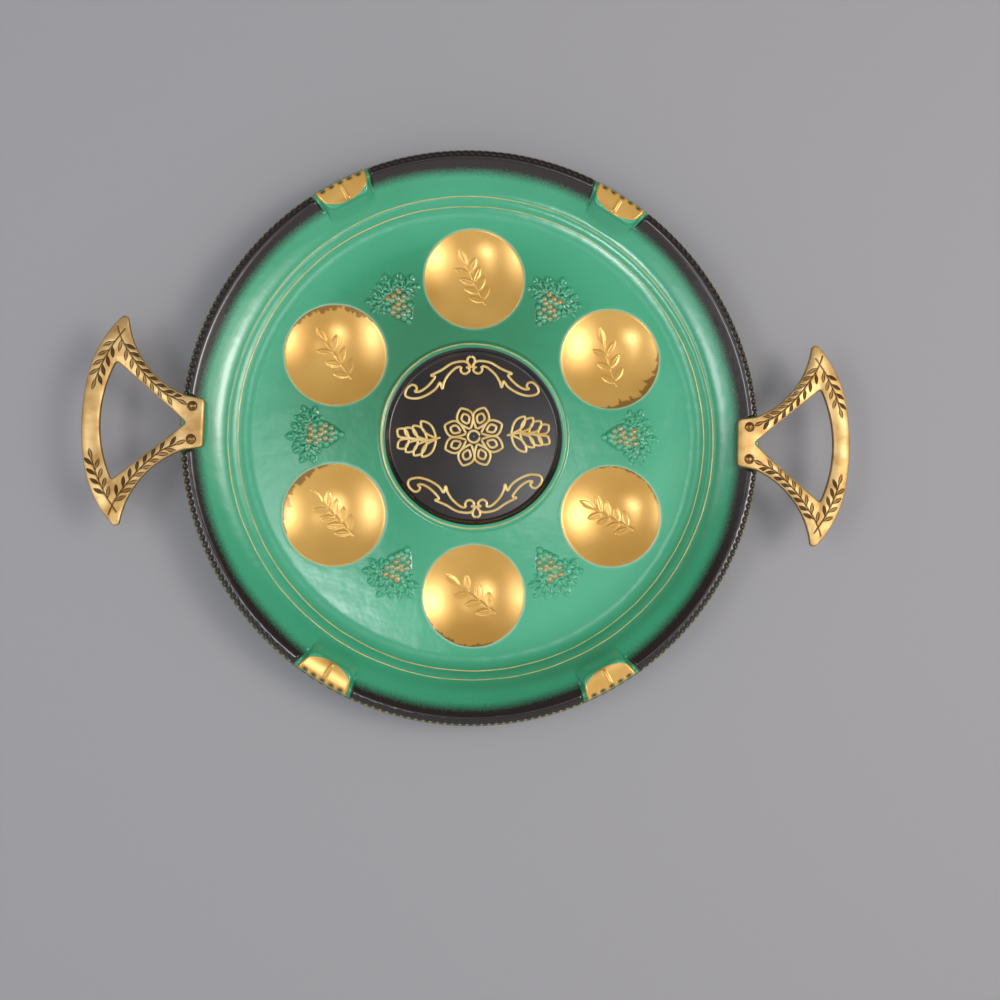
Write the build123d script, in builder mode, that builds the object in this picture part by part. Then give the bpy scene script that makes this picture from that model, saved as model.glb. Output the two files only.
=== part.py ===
from build123d import *
import os

# Seder plate: a slip-cast, glazed tray with six food wells, and two cast-brass handles riveted to its rim.
# Millimetres, +Z up. The origin is the centre of the foot ring's resting face; +X runs through one handle.

# Tray: overall sizes
plate_diameter = 330.0
rim_height = 28.0          # lip crest above the table
floor_height = 14.0        # top of the floor above the table
clay_wall = 5.5            # thickness of the clay under the floor and the wells

# Tray: cove and lip, as distances in from the outer edge and rises above the floor or drops below the crest
cove_inset = 39.5          # where the floor starts to rise
ledge_inner_inset = 28.5
ledge_inner_rise = 2.35
ledge_outer_inset = 25.5
ledge_outer_rise = 3.2
lip_foot_inset = 9.5
lip_foot_drop = 2.3
crest_inset = 4.5
lip_edge_inset = 0.6
lip_edge_drop = 2.6
nose_drop = 3.8            # height of the widest point of the edge below the crest
underlip_inset = 1.6
underlip_drop = 5.4
underside_mid_inset = 15.0
underside_mid_drop = 13.0
underside_foot_inset = 27.0
underside_foot_drop = 17.2

# Tray: foot ring
foot_inset = 32.0          # outer side of the ring, in from the plate's edge
foot_width = 6.5
foot_draft = 1.0           # how much each side of the ring leans in towards its resting face

# Tray: centre recess with a raised bead round it
medallion_gap = 7.7        # floor left between the bead and the wells
recess_depth = 2.5
recess_slope = 2.6         # run of the sloping side
bead_width = 4.0
bead_height = 1.0

# Tray: six spherical wells
well_count = 6
well_diameter = 58.4
well_depth = 7.0
well_edge_gap = 4.1        # floor left between the wells and the cove
well_turn = 1.5            # the ring of wells stands this many degrees round from the handles
well_lip_round = 0.8

# Tray: raised lugs on the rim, one every sixth of a turn; the two on the X axis are cut down as handle seats
lug_angles = (60.0, 120.0, 240.0, 300.0)
lug_inner_inset = 14.4
lug_inner_width = 25.0
lug_outer_width = 33.0
lug_corner_round = 4.5
lug_rise = 0.4             # top of the lug above the crest
lug_top_round = 1.2
lug_rib_length = 8.0
lug_rib_width = 2.4
lug_rib_height = 0.7

# Tray: handle seats
seat_drop = 2.0            # seat face below the crest
seat_thickness = 7.5
seat_inner_inset = 14.5
seat_inner_width = 30.0
seat_outer_width = 36.0
lip_gap_margin = 0.8       # the lip stops this far outside the seat

# Handles, as reaches out from the plate's edge and distances across
handle_thickness = 3.5
handle_reach = 53.0        # plate's edge to the middle of the grip bar's outer side
handle_span = 117.0        # tip to tip
tip_reach = 32.2
tip_width = 4.6
tip_round = 1.9
bar_width = 9.9
bar_arc_chord = 48.0       # flatter middle stretch of the bar's outer side
bar_arc_sagitta = 2.1
root_inset = 13.6          # how far the root lies in over the rim
root_width = 26.8
root_flare_inset = 3.0     # where the arms leave the root
root_flare_width = 30.6
root_flare_angle = 21.0
root_corner_round = 1.5
gap_apex_inset = 4.0       # finger gap: the point of the V
gap_corner_reach = 35.6
gap_corner_span = 66.4
gap_corner_round = 1.5
handle_edge_round = 0.9

# Rivets and what they clamp
rivet_inset = 7.0          # rivet axes, in from the plate's edge
rivet_spacing = 18.6
shank_diameter = 3.2
head_diameter = 4.6
head_height = 0.8
tail_diameter = 5.2
tail_height = 1.3
metal_clearance = 0.1      # round a shank, in brass and fibre
clay_clearance = 0.6       # round a shank, in clay
gasket_thickness = 0.6
gasket_margin = 1.0        # the gasket stops this far inside the root's edges
washer_diameter = 9.0
washer_thickness = 0.8
burr_thickness = 0.8
spotface_margin = 1.0      # flat round each washer, under the seat

# Places that follow from the sizes above
plate_radius = plate_diameter / 2
foot_radius = plate_radius - foot_inset
well_radius = well_diameter / 2
well_circle_radius = plate_radius - cove_inset - well_edge_gap - well_radius
recess_radius = well_circle_radius - well_radius - medallion_gap - bead_width
seat_height = rim_height - seat_drop
seat_bottom = seat_height - seat_thickness
handle_bottom = seat_height + gasket_thickness
handle_top = handle_bottom + handle_thickness
washer_bottom = seat_bottom - washer_thickness
burr_bottom = washer_bottom - burr_thickness
rivet_radius = plate_radius - rivet_inset
lug_circle = plate_radius - underlip_inset
sides = {"right": 0.0, "left": 180.0}
rows = {"front": -rivet_spacing / 2, "rear": rivet_spacing / 2}
rivet_places = [(rivet_radius, row_y) for row_y in rows.values()]   # on a side's own plane

os.makedirs("parts", exist_ok=True)


def from_edge(inset, height):
    """A point of the tray's section: so far in from the outer edge, at that height."""
    return (plate_radius - inset, height)


def side_plane(angle, height):
    """A level plane whose x runs out from the plate's centre towards the given angle."""
    return Plane.XY.offset(height).rotated((0, 0, angle))


def rim_pad(inner_inset, inner_width, outer_width, edge_radius):
    """Tapered pad on the rim, wider outside, ending on a circle round the plate's centre."""
    inner_x = plate_radius - inner_inset
    with BuildSketch(mode=Mode.PRIVATE) as pad:
        with BuildLine():
            Polyline(
                (inner_x, -inner_width / 2),
                (plate_radius, -outer_width / 2),
                (plate_radius, outer_width / 2),
                (inner_x, inner_width / 2),
                close=True,
            )
        make_face()
        Circle(edge_radius, mode=Mode.INTERSECT)
    return pad.sketch


# Well: the hollow, and the bulge that keeps the clay's thickness under it, as caps of two spheres
sphere_radius = (well_radius**2 + well_depth**2) / (2 * well_depth)
sphere_rise = sphere_radius - well_depth       # sphere's centre above the floor
bulge_radius = sphere_radius + clay_wall


def cap_profile(radius):
    """Half of the part of a circle that lies below the floor, with the circle's centre above it."""
    half_chord = (radius**2 - sphere_rise**2) ** 0.5
    lowest = (0, floor_height + sphere_rise - radius)
    with BuildSketch(mode=Mode.PRIVATE) as cap:
        with BuildLine():
            arc = TangentArc(lowest, (half_chord, floor_height), tangent=(1, 0))
            Polyline(arc @ 1, (0, floor_height), lowest)
        make_face()
    return cap.sketch


with BuildPart() as well_hollow:
    with BuildSketch(Plane.XZ):
        add(cap_profile(sphere_radius))
    revolve(axis=Axis.Z)

with BuildPart() as well_bulge:
    with BuildSketch(Plane.XZ):
        add(cap_profile(bulge_radius))
    revolve(axis=Axis.Z)

# Rim lug: a low loaf with rounded inner corners and top edge, and a rib across it
with BuildPart() as rim_lug:
    with BuildSketch(Plane.XY.offset(rim_height - underlip_drop)) as lug_plan:
        add(rim_pad(lug_inner_inset, lug_inner_width, lug_outer_width, lug_circle))
        fillet(lug_plan.vertices().group_by(Axis.X)[0], lug_corner_round)
    extrude(amount=underlip_drop + lug_rise)
    lug_top = rim_lug.faces().sort_by(Axis.Z)[-1]
    fillet(lug_top.edges(), lug_top_round)
    with BuildSketch(Plane.XY.offset(rim_height)):
        with Locations((plate_radius - (lug_inner_inset + underlip_inset) / 2, 0)):
            SlotOverall(lug_rib_length, lug_rib_width)
    extrude(amount=lug_rise + lug_rib_height)

# Handle seat: a flat-topped block under the handle's root, and the gap that it needs in the lip
with BuildPart() as handle_seat:
    with BuildSketch(Plane.XY.offset(seat_bottom)):
        add(rim_pad(seat_inner_inset, seat_inner_width, seat_outer_width, lug_circle))
    extrude(amount=seat_thickness)

with BuildPart() as lip_gap:
    with BuildSketch(Plane.XY.offset(seat_height)):
        gap_inner_width = seat_inner_width + 2 * lip_gap_margin
        gap_outer_width = seat_outer_width + 2 * lip_gap_margin
        add(rim_pad(seat_inner_inset, gap_inner_width, gap_outer_width, plate_radius))
    extrude(amount=seat_drop + lug_rise)

# Tray: one revolved section, then wells, lugs, seats and rivet holes
with BuildPart() as plate_body:
    with BuildSketch(Plane.XZ):
        with BuildLine():
            recess_height = floor_height - recess_depth
            bottom = Line((0, recess_height), (recess_radius - recess_slope, recess_height))
            side = Line(bottom @ 1, (recess_radius, floor_height))
            bead = ThreePointArc(
                side @ 1,
                (recess_radius + bead_width / 2, floor_height + bead_height),
                (recess_radius + bead_width, floor_height),
            )
            floor = Line(bead @ 1, from_edge(cove_inset, floor_height))
            lower_cove = TangentArc(
                floor @ 1,
                from_edge(ledge_inner_inset, floor_height + ledge_inner_rise),
                tangent=floor % 1,
            )
            ledge = TangentArc(
                lower_cove @ 1,
                from_edge(ledge_outer_inset, floor_height + ledge_outer_rise),
                tangent=lower_cove % 1,
            )
            upper_cove = TangentArc(
                ledge @ 1,
                from_edge(lip_foot_inset, rim_height - lip_foot_drop),
                tangent=ledge % 1,
            )
            lip_inside = TangentArc(
                upper_cove @ 1, from_edge(crest_inset, rim_height), tangent=upper_cove % 1
            )
            lip_outside = TangentArc(
                lip_inside @ 1,
                from_edge(lip_edge_inset, rim_height - lip_edge_drop),
                tangent=lip_inside % 1,
            )
            nose = ThreePointArc(
                lip_outside @ 1,
                from_edge(0, rim_height - nose_drop),
                from_edge(underlip_inset, rim_height - underlip_drop),
            )
            underside = ThreePointArc(
                nose @ 1,
                from_edge(underside_mid_inset, rim_height - underside_mid_drop),
                from_edge(underside_foot_inset, rim_height - underside_foot_drop),
            )
            underfloor = floor_height - clay_wall
            Polyline(
                underside @ 1,
                (foot_radius, underfloor),
                (foot_radius - foot_draft, 0),
                (foot_radius - foot_width + foot_draft, 0),
                (foot_radius - foot_width, underfloor),
                (0, underfloor),
                (0, recess_height),
            )
        make_face()
    revolve(axis=Axis.Z)

    first_well = 360.0 / well_count / 2 + well_turn
    with PolarLocations(well_circle_radius, well_count, first_well):
        add(well_bulge.part)
        add(well_hollow.part, mode=Mode.SUBTRACT)
    well_lips = plate_body.edges().filter_by(GeomType.CIRCLE).filter_by(
        lambda edge: abs(edge.radius - well_radius) < 1e-3
    )
    fillet(well_lips, well_lip_round)

    for angle in lug_angles:
        add(rim_lug.part, rotation=(0, 0, angle))
    for angle in sides.values():
        add(lip_gap.part, rotation=(0, 0, angle), mode=Mode.SUBTRACT)
        add(handle_seat.part, rotation=(0, 0, angle))
        with BuildSketch(side_plane(angle, seat_bottom)):
            with Locations(*rivet_places):
                Circle(washer_diameter / 2 + spotface_margin)
        extrude(amount=-seat_bottom / 2, mode=Mode.SUBTRACT)
        with BuildSketch(side_plane(angle, seat_bottom)):
            with Locations(*rivet_places):
                Circle(shank_diameter / 2 + clay_clearance)
        extrude(amount=seat_thickness, mode=Mode.SUBTRACT)

plate_body.part.label = "plate_body"
export_step(plate_body.part, "parts/plate_body.step")


def handle_outline():
    """Bow-shaped casting: root on the rim, two concave arms, and a bar that bulges outwards."""
    tip_x = plate_radius + tip_reach
    half_span = handle_span / 2
    bar_x = plate_radius + handle_reach
    flare = Vector(1, 0).rotate(Axis.Z, root_flare_angle)
    with BuildSketch(mode=Mode.PRIVATE) as casting:
        with BuildLine():
            root = Polyline(
                (plate_radius - root_inset, 0),
                (plate_radius - root_inset, root_width / 2),
                (plate_radius - root_flare_inset, root_flare_width / 2),
            )
            arm = TangentArc(root @ 1, (tip_x - tip_width / 2, half_span), tangent=flare)
            tip = Line(arm @ 1, (tip_x + tip_width / 2, half_span))
            bar = CenterArc((bar_x - bar_arc_radius, 0), bar_arc_radius, 0, bar_arc_angle)
            TangentArc(bar @ 1, tip @ 1, tangent=bar % 1)
            mirror(about=Plane.XZ)
        make_face()
        fillet(casting.vertices().group_by(Axis.X)[0], root_corner_round)
        fillet(casting.vertices().group_by(Axis.Y)[-1], tip_round)
        fillet(casting.vertices().group_by(Axis.Y)[0], tip_round)
    return casting.sketch


def finger_gap_outline():
    """Triangle with its point at the rim and its outer side parallel to the bar."""
    apex = (plate_radius - gap_apex_inset, 0)
    corner_x = plate_radius + gap_corner_reach
    inner_bar_x = plate_radius + handle_reach - bar_width
    with BuildSketch(mode=Mode.PRIVATE) as gap:
        with BuildLine():
            upper = Line(apex, (corner_x, gap_corner_span / 2))
            bar_side = ThreePointArc(upper @ 1, (inner_bar_x, 0), (corner_x, -gap_corner_span / 2))
            Line(bar_side @ 1, apex)
        make_face()
        fillet(gap.vertices(), gap_corner_round)
    return gap.sketch


# Handles: two of the same casting, half a turn apart
bar_arc_radius = (bar_arc_chord**2 / 4 + bar_arc_sagitta**2) / (2 * bar_arc_sagitta)
bar_arc_angle = Vector(bar_arc_radius - bar_arc_sagitta, bar_arc_chord / 2).get_angle(Vector(1, 0))
for side_name, angle in sides.items():
    with BuildPart() as handle:
        with BuildSketch(side_plane(angle, handle_bottom)):
            add(handle_outline())
        extrude(amount=handle_thickness)
        with BuildSketch(side_plane(angle, handle_bottom)):
            add(finger_gap_outline())
        extrude(amount=handle_thickness, mode=Mode.SUBTRACT)
        fillet(handle.edges().group_by(Axis.Z)[-1], handle_edge_round)
        with BuildSketch(side_plane(angle, handle_bottom)):
            with Locations(*rivet_places):
                Circle(shank_diameter / 2 + metal_clearance)
        extrude(amount=handle_thickness, mode=Mode.SUBTRACT)
    handle.part.label = f"handle_{side_name}"
    export_step(handle.part, f"parts/handle_{side_name}.step")

# Gaskets: fibre between each root and its seat
for side_name, angle in sides.items():
    with BuildPart() as gasket:
        with BuildSketch(side_plane(angle, seat_height)):
            inner_width = root_width - 2 * gasket_margin
            outer_width = root_flare_width - 2 * gasket_margin
            add(rim_pad(root_inset - gasket_margin, inner_width, outer_width, lug_circle - gasket_margin))
            with Locations(*rivet_places):
                Circle(shank_diameter / 2 + metal_clearance, mode=Mode.SUBTRACT)
        extrude(amount=gasket_thickness)
    gasket.part.label = f"gasket_{side_name}"
    export_step(gasket.part, f"parts/gasket_{side_name}.step")


def ring(outer_diameter):
    """Flat washer outline with the bore that a rivet's shank needs."""
    with BuildSketch(mode=Mode.PRIVATE) as washer_face:
        Circle(outer_diameter / 2)
        Circle(shank_diameter / 2 + metal_clearance, mode=Mode.SUBTRACT)
    return washer_face.sketch


# Rivets with their fibre washers and brass burrs, two at each handle
for side_name, angle in sides.items():
    for row_name, row_y in rows.items():
        axis_point = Vector(rivet_radius, 0).rotate(Axis.Z, angle) + Vector(0, row_y)
        place = f"{side_name}_{row_name}"

        with BuildPart() as washer:
            with BuildSketch(Plane(axis_point).offset(washer_bottom)):
                add(ring(washer_diameter))
            extrude(amount=washer_thickness)
        washer.part.label = f"fibre_washer_{place}"
        export_step(washer.part, f"parts/fibre_washer_{place}.step")

        with BuildPart() as burr:
            with BuildSketch(Plane(axis_point).offset(burr_bottom)):
                add(ring(washer_diameter))
            extrude(amount=burr_thickness)
        burr.part.label = f"rivet_burr_{place}"
        export_step(burr.part, f"parts/rivet_burr_{place}.step")

        with BuildPart() as rivet:
            with BuildSketch(Plane(axis_point, x_dir=(1, 0, 0), z_dir=(0, -1, 0))):
                with BuildLine():
                    tail_end = (0, burr_bottom - tail_height)
                    head_end = (0, handle_top + head_height)
                    tail = TangentArc(tail_end, (tail_diameter / 2, burr_bottom), tangent=(1, 0))
                    head = TangentArc(head_end, (head_diameter / 2, handle_top), tangent=(1, 0))
                    Polyline(
                        tail @ 1,
                        (shank_diameter / 2, burr_bottom),
                        (shank_diameter / 2, handle_top),
                        head @ 1,
                    )
                    Line(head_end, tail_end)
                make_face()
            revolve(axis=Axis(axis_point, (0, 0, 1)))
        rivet.part.label = f"rivet_{place}"
        export_step(rivet.part, f"parts/rivet_{place}.step")
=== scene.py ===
import math

import bmesh
import bpy
import numpy as np
from mathutils import Matrix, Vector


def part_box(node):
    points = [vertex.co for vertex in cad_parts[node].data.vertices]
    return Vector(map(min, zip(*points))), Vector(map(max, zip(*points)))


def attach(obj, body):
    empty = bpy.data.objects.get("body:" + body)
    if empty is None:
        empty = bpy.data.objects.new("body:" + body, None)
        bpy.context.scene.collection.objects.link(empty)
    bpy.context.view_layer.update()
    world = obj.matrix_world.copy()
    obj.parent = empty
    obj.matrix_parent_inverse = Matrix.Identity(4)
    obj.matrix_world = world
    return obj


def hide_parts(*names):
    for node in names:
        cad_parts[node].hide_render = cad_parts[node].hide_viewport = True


# Glazed seder plate with two engraved brass handles. Shapes are worked out in millimetres.
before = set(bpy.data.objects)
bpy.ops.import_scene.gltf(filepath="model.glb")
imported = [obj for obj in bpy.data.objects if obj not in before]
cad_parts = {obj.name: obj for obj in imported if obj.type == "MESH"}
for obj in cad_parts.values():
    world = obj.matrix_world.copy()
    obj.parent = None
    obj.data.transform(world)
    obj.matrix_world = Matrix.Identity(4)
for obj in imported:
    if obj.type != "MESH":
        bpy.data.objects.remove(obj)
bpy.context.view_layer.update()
mm = 0.001
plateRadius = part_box("plate_body")[1].y / mm
print("frame loaded,", len(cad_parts), "nodes, plate radius", round(plateRadius, 2), "mm")


# Small helpers for shapes

def smoothStep(low, high, value):
    # 0 below low, 1 above high, 3t^2 - 2t^3 between them
    t = np.clip((value - low) / (high - low), 0, 1)
    return t * t * (3 - 2 * t)


def softMax(a, b, reach):
    # the larger of two heights, with a fillet where they come within reach of each other
    near = np.clip(1 - np.abs(a - b) / reach, 0, 1)
    return np.maximum(a, b) + near * near * reach / 4


def softMin(a, b, reach):
    # the smaller of two heights, filleted the same way
    return -softMax(-a, -b, reach)


def hermite(t, a, slopeA, b, slopeB):
    # cubic from a to b, with the given slopes at its ends
    return ((2 * t ** 3 - 3 * t ** 2 + 1) * a + (t ** 3 - 2 * t ** 2 + t) * slopeA
            + (3 * t ** 2 - 2 * t ** 3) * b + (t ** 3 - t ** 2) * slopeB)


def tangentArc(start, slope, end, count):
    # points of the circle that leaves start at angle slope and passes through end
    chord = math.atan2(end[1] - start[1], end[0] - start[0])
    turn = math.remainder(chord - slope, math.tau)
    radius = math.dist(start, end) / 2 / math.sin(turn)
    angle = slope + np.linspace(0, 2 * turn, count)
    x = start[0] + radius * (np.sin(angle) - math.sin(slope))
    y = start[1] - radius * (np.cos(angle) - math.cos(slope))
    return np.stack([x, y], 1)


def circleThrough(a, b, c, count):
    # points from a to c on the circle through three points
    a, b, c = (complex(*p) for p in (a, b, c))
    w = (c - a) / (b - a)
    centre = (b - a) * (w - abs(w) ** 2) / (2j * w.imag) + a
    radius = abs(a - centre)
    angles = np.unwrap([np.angle(p - centre) for p in (a, b, c)])
    turn = np.linspace(angles[0], angles[2], count)
    return np.stack([centre.real + radius * np.cos(turn), centre.imag + radius * np.sin(turn)], 1)


def bowedArc(tip, radius, angles):
    # points of an arc about a centre on the X axis, whose outermost point is at tip
    return np.stack([tip - radius + radius * np.cos(angles), radius * np.sin(angles)], 1)


def bendThrough(start, corner, end, count):
    # parabola from start to end whose sides meet at corner
    t = np.linspace(0, 1, count)[:, None]
    start, corner, end = map(np.asarray, (start, corner, end))
    return (1 - t) ** 2 * start + 2 * t * (1 - t) * corner + t ** 2 * end


def evenly(points, count):
    # the same path with count points, evenly spaced along it
    step = np.hypot(*np.diff(points, axis=0).T)
    along = np.concatenate([[0], np.cumsum(step)])
    target = np.linspace(0, along[-1], count)
    return np.stack([np.interp(target, along, points[:, k]) for k in (0, 1)], 1)


def smoothPath(points, count):
    # cubic through given points, each slope from its two neighbours, then evened out
    p = np.asarray(points, float)
    slope = np.gradient(p, axis=0)
    t = np.linspace(0, len(p) - 1, 30 * len(p))
    k = np.minimum(t.astype(int), len(p) - 2)
    return evenly(hermite((t - k)[:, None], p[k], slope[k], p[k + 1], slope[k + 1]), count)


def turned(x, y, degrees):
    # the point turned about the origin, anticlockwise
    c, s = math.cos(math.radians(degrees)), math.sin(math.radians(degrees))
    return x * c - y * s, x * s + y * c


def polar(r, angle):
    # x and y at a radius and an angle in radians
    return r * np.cos(angle), r * np.sin(angle)


def roundAngles(count):
    # angles of count points once round a circle
    return np.linspace(0, 2 * np.pi, count, endpoint=False)


def pointRows(x, y, z):
    # three grids of coordinates as one list of points
    return np.stack([x, y, z], -1).reshape(-1, 3)


def gridFaces(rows, cols, closed):
    # quads of a grid of rows by cols points, the last column joined to the first if closed
    i, j = np.meshgrid(np.arange(rows - 1), np.arange(cols if closed else cols - 1), indexing="ij")
    k = (j + 1) % cols
    return np.stack([i * cols + j, (i + 1) * cols + j, (i + 1) * cols + k, i * cols + k], -1).reshape(-1, 4)


def makePiece(name, points, faces, material, attributes=None, node="plate_body"):
    # a mesh at the origin from points in millimetres
    mesh = bpy.data.meshes.new(name)
    mesh.from_pydata(np.asarray(points) * mm, [], faces if isinstance(faces, list) else faces.tolist())
    return dressPiece(name, mesh, material, attributes, node)


def dressPiece(name, mesh, material, attributes, node):
    # smooth-shades a mesh and gives it its masks and finish; it rides on the one body and stands for a node
    mesh.polygons.foreach_set("use_smooth", np.ones(len(mesh.polygons), bool))
    for label, values in (attributes or {}).items():
        layer = mesh.attributes.new(label, "FLOAT", "POINT")
        layer.data.foreach_set("value", np.asarray(values, np.float32).ravel())
    mesh.materials.append(material)
    piece = bpy.data.objects.new(name, mesh)
    bpy.context.scene.collection.objects.link(piece)
    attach(piece, "root")
    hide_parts(node)
    return piece


# Materials

glazeIndex = 1.7                        # a lead glaze, brighter in its reflections than window glass


def hexColour(code):
    # sRGB hex to linear light
    srgb = np.array([int(code[k:k + 2], 16) for k in (1, 3, 5)]) / 255
    linear = np.where(srgb <= 0.04045, srgb / 12.92, ((srgb + 0.055) / 1.055) ** 2.4)
    return (*linear.tolist(), 1.0)


def patternScale(sizeMm):
    # texture scale at which one pattern feature measures sizeMm, on coordinates in metres
    return 1000 / sizeMm


def addNode(tree, kind, inputs=None, stops=None, **settings):
    # one shader node: its own settings, its sockets' values or links, and a ramp's stops
    made = tree.nodes.new("ShaderNode" + kind)
    for label, value in settings.items():
        setattr(made, label, value)
    for socket, value in (inputs or {}).items():
        if isinstance(value, bpy.types.NodeSocket):
            tree.links.new(value, made.inputs[socket])
        else:
            made.inputs[socket].default_value = value
    for place, (position, colour) in enumerate(stops or []):
        ramp = made.color_ramp.elements
        stop = ramp[place] if place < 2 else ramp.new(position)
        stop.position, stop.color = position, colour
    return made


def startMaterial(name):
    # an empty material with its shader, and Object coordinates to hang patterns on
    material = bpy.data.materials.new(name)
    material.use_nodes = True
    tree = material.node_tree
    shader = tree.nodes["Principled BSDF"]
    place = addNode(tree, "TexCoord").outputs["Object"]
    return material, tree, shader, place


def layCoats(tree, tone, coats):
    # each coat's colour laid over what is under it, by the coat's share
    for share, colour in coats:
        tone = addNode(tree, "Mix", {0: share, 6: tone, 7: hexColour(colour)}, data_type="RGBA").outputs[2]
    return tone


def finishShader(tree, shader, **sockets):
    # links or sets the shader's inputs, whose names are given with _ for a space
    for label, value in sockets.items():
        socket = shader.inputs[label.replace("_", " ")]
        if isinstance(value, bpy.types.NodeSocket):
            tree.links.new(value, socket)
        else:
            socket.default_value = value


greenGlaze = {
    "thin": "#62cba0", "body": "#37a074", "pool": "#2f7a50", "deep": "#174f35",
    "spray": "#1d0e09", "clay": "#c9b394", "dab": "#cb9a5a",
    "bodyAt": 0.53, "poolAt": 0.82, "cloudMm": 55.0, "cloudShare": 0.22, "speckMm": 0.9, "speckShare": 0.07,
    "sprayGrain": 0.5, "sprayEdge": (0.08, 0.92), "rippleMm": 11.0, "rippleHeightMm": 0.16,
    "roughness": 0.1, "clayRoughness": 0.7, "dabMetal": 0.4,
}


def greenGlazeMaterial():
    # Fired green glaze under airbrushed black-brown: deep where it pools, pale where it runs thin over
    # edges, faintly clouded and specked, with a wet gloss; painted shade and light by the side a surface
    # faces;
    # bare buff clay where the foot was wiped, and a painted pale highlight on each well's lip
    g = greenGlaze
    material, tree, shader, place = startMaterial("FiredGreenGlaze")
    cloud = addNode(tree, "TexNoise", {"Vector": place, "Scale": patternScale(g["cloudMm"]), "Detail": 3.0})
    speck = addNode(tree, "TexNoise", {"Vector": place, "Scale": patternScale(g["speckMm"]), "Detail": 2.0})
    poolingAndPaintedLight, spray, clayAndLipHighlight, gilt = (addNode(tree, "Attribute", attribute_name=mask).outputs["Fac"]
                                  for mask in ("poolingAndPaintedLight", "spray", "bareClayAndLipHighlight", "gilt"))
    depth = addNode(tree, "Math", {0: cloud.outputs["Fac"], 1: g["cloudShare"], 2: poolingAndPaintedLight},
                    operation="MULTIPLY_ADD")
    depth = addNode(tree, "Math", {0: speck.outputs["Fac"], 1: g["speckShare"], 2: depth.outputs[0]},
                    operation="MULTIPLY_ADD")
    stops = [(0.0, g["thin"]), (1.0, g["deep"]), (g["bodyAt"], g["body"]), (g["poolAt"], g["pool"])]
    tone = addNode(tree, "ValToRGB", {"Fac": depth.outputs[0]},
                   [(at, hexColour(colour)) for at, colour in stops]).outputs["Color"]
    grain = addNode(tree, "Math", {0: speck.outputs["Fac"], 1: 0.5}, operation="SUBTRACT")
    edge = addNode(tree, "Math", {0: grain.outputs[0], 1: g["sprayGrain"], 2: spray},
                   operation="MULTIPLY_ADD")
    share = addNode(tree, "MapRange", {"Value": edge.outputs[0], "From Min": g["sprayEdge"][0],
                                       "From Max": g["sprayEdge"][1]})
    # the clay colour also paints the pale highlight line on each well's lip
    tone = layCoats(tree, tone, [(share.outputs[0], g["spray"]), (clayAndLipHighlight, g["clay"]), (gilt, g["dab"])])
    metal = addNode(tree, "Math", {0: gilt, 1: g["dabMetal"]}, operation="MULTIPLY")
    gloss = addNode(tree, "Math", {0: clayAndLipHighlight, 1: g["clayRoughness"], 2: g["roughness"]},
                    operation="MULTIPLY_ADD")
    ripple = addNode(tree, "TexNoise", {"Vector": place, "Scale": patternScale(g["rippleMm"]), "Detail": 2.0})
    bump = addNode(tree, "Bump", {"Height": ripple.outputs["Fac"], "Distance": g["rippleHeightMm"] * mm})
    finishShader(tree, shader, Base_Color=tone, Metallic=metal.outputs[0], Roughness=gloss.outputs[0],
                 Normal=bump.outputs[0], IOR=glazeIndex)
    return material


blackGlaze = {
    "body": "#0f0805", "brown": "#2b1a10", "cloudMm": 18.0, "brownFrom": 0.4, "brownTo": 0.75, "speckMm": 0.8,
    "roughness": 0.05, "speckRoughness": 0.1,
}


def blackGlazeMaterial():
    # Fired black-brown glaze: nearly black, a little brown where it is thin, wet gloss with fine specks
    g = blackGlaze
    material, tree, shader, place = startMaterial("FiredBlackGlaze")
    cloud = addNode(tree, "TexNoise", {"Vector": place, "Scale": patternScale(g["cloudMm"]), "Detail": 5.0})
    share = addNode(tree, "MapRange", {"Value": cloud.outputs["Fac"], "From Min": g["brownFrom"],
                                       "From Max": g["brownTo"]})
    tone = layCoats(tree, hexColour(g["body"]), [(share.outputs[0], g["brown"])])
    speck = addNode(tree, "TexNoise", {"Vector": place, "Scale": patternScale(g["speckMm"]), "Detail": 2.0})
    gloss = addNode(tree, "Math", {0: speck.outputs["Fac"], 1: g["speckRoughness"], 2: g["roughness"]},
                    operation="MULTIPLY_ADD")
    finishShader(tree, shader, Base_Color=tone, Roughness=gloss.outputs[0], IOR=glazeIndex)
    return material


goldLustre = {
    "bright": "#efbd64", "deep": "#dda84f", "worn": "#8fae72", "soot": "#2a1a0a", "burntAndDarkReflection": "#80561f",
    "cloudMm": 34.0, "deepFrom": 0.35, "deepTo": 0.7, "brushMm": 4.5, "roughness": 0.15,
    "brushRoughness": 0.08, "mirror": 0.34, "wornMirror": -0.3, "index": 1.6,
}
goldLineLustre = {
    **goldLustre, "bright": "#f5d68e", "deep": "#e0b866", "cloudMm": 9.0, "roughness": 0.2, "mirror": 0.25,
}


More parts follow.
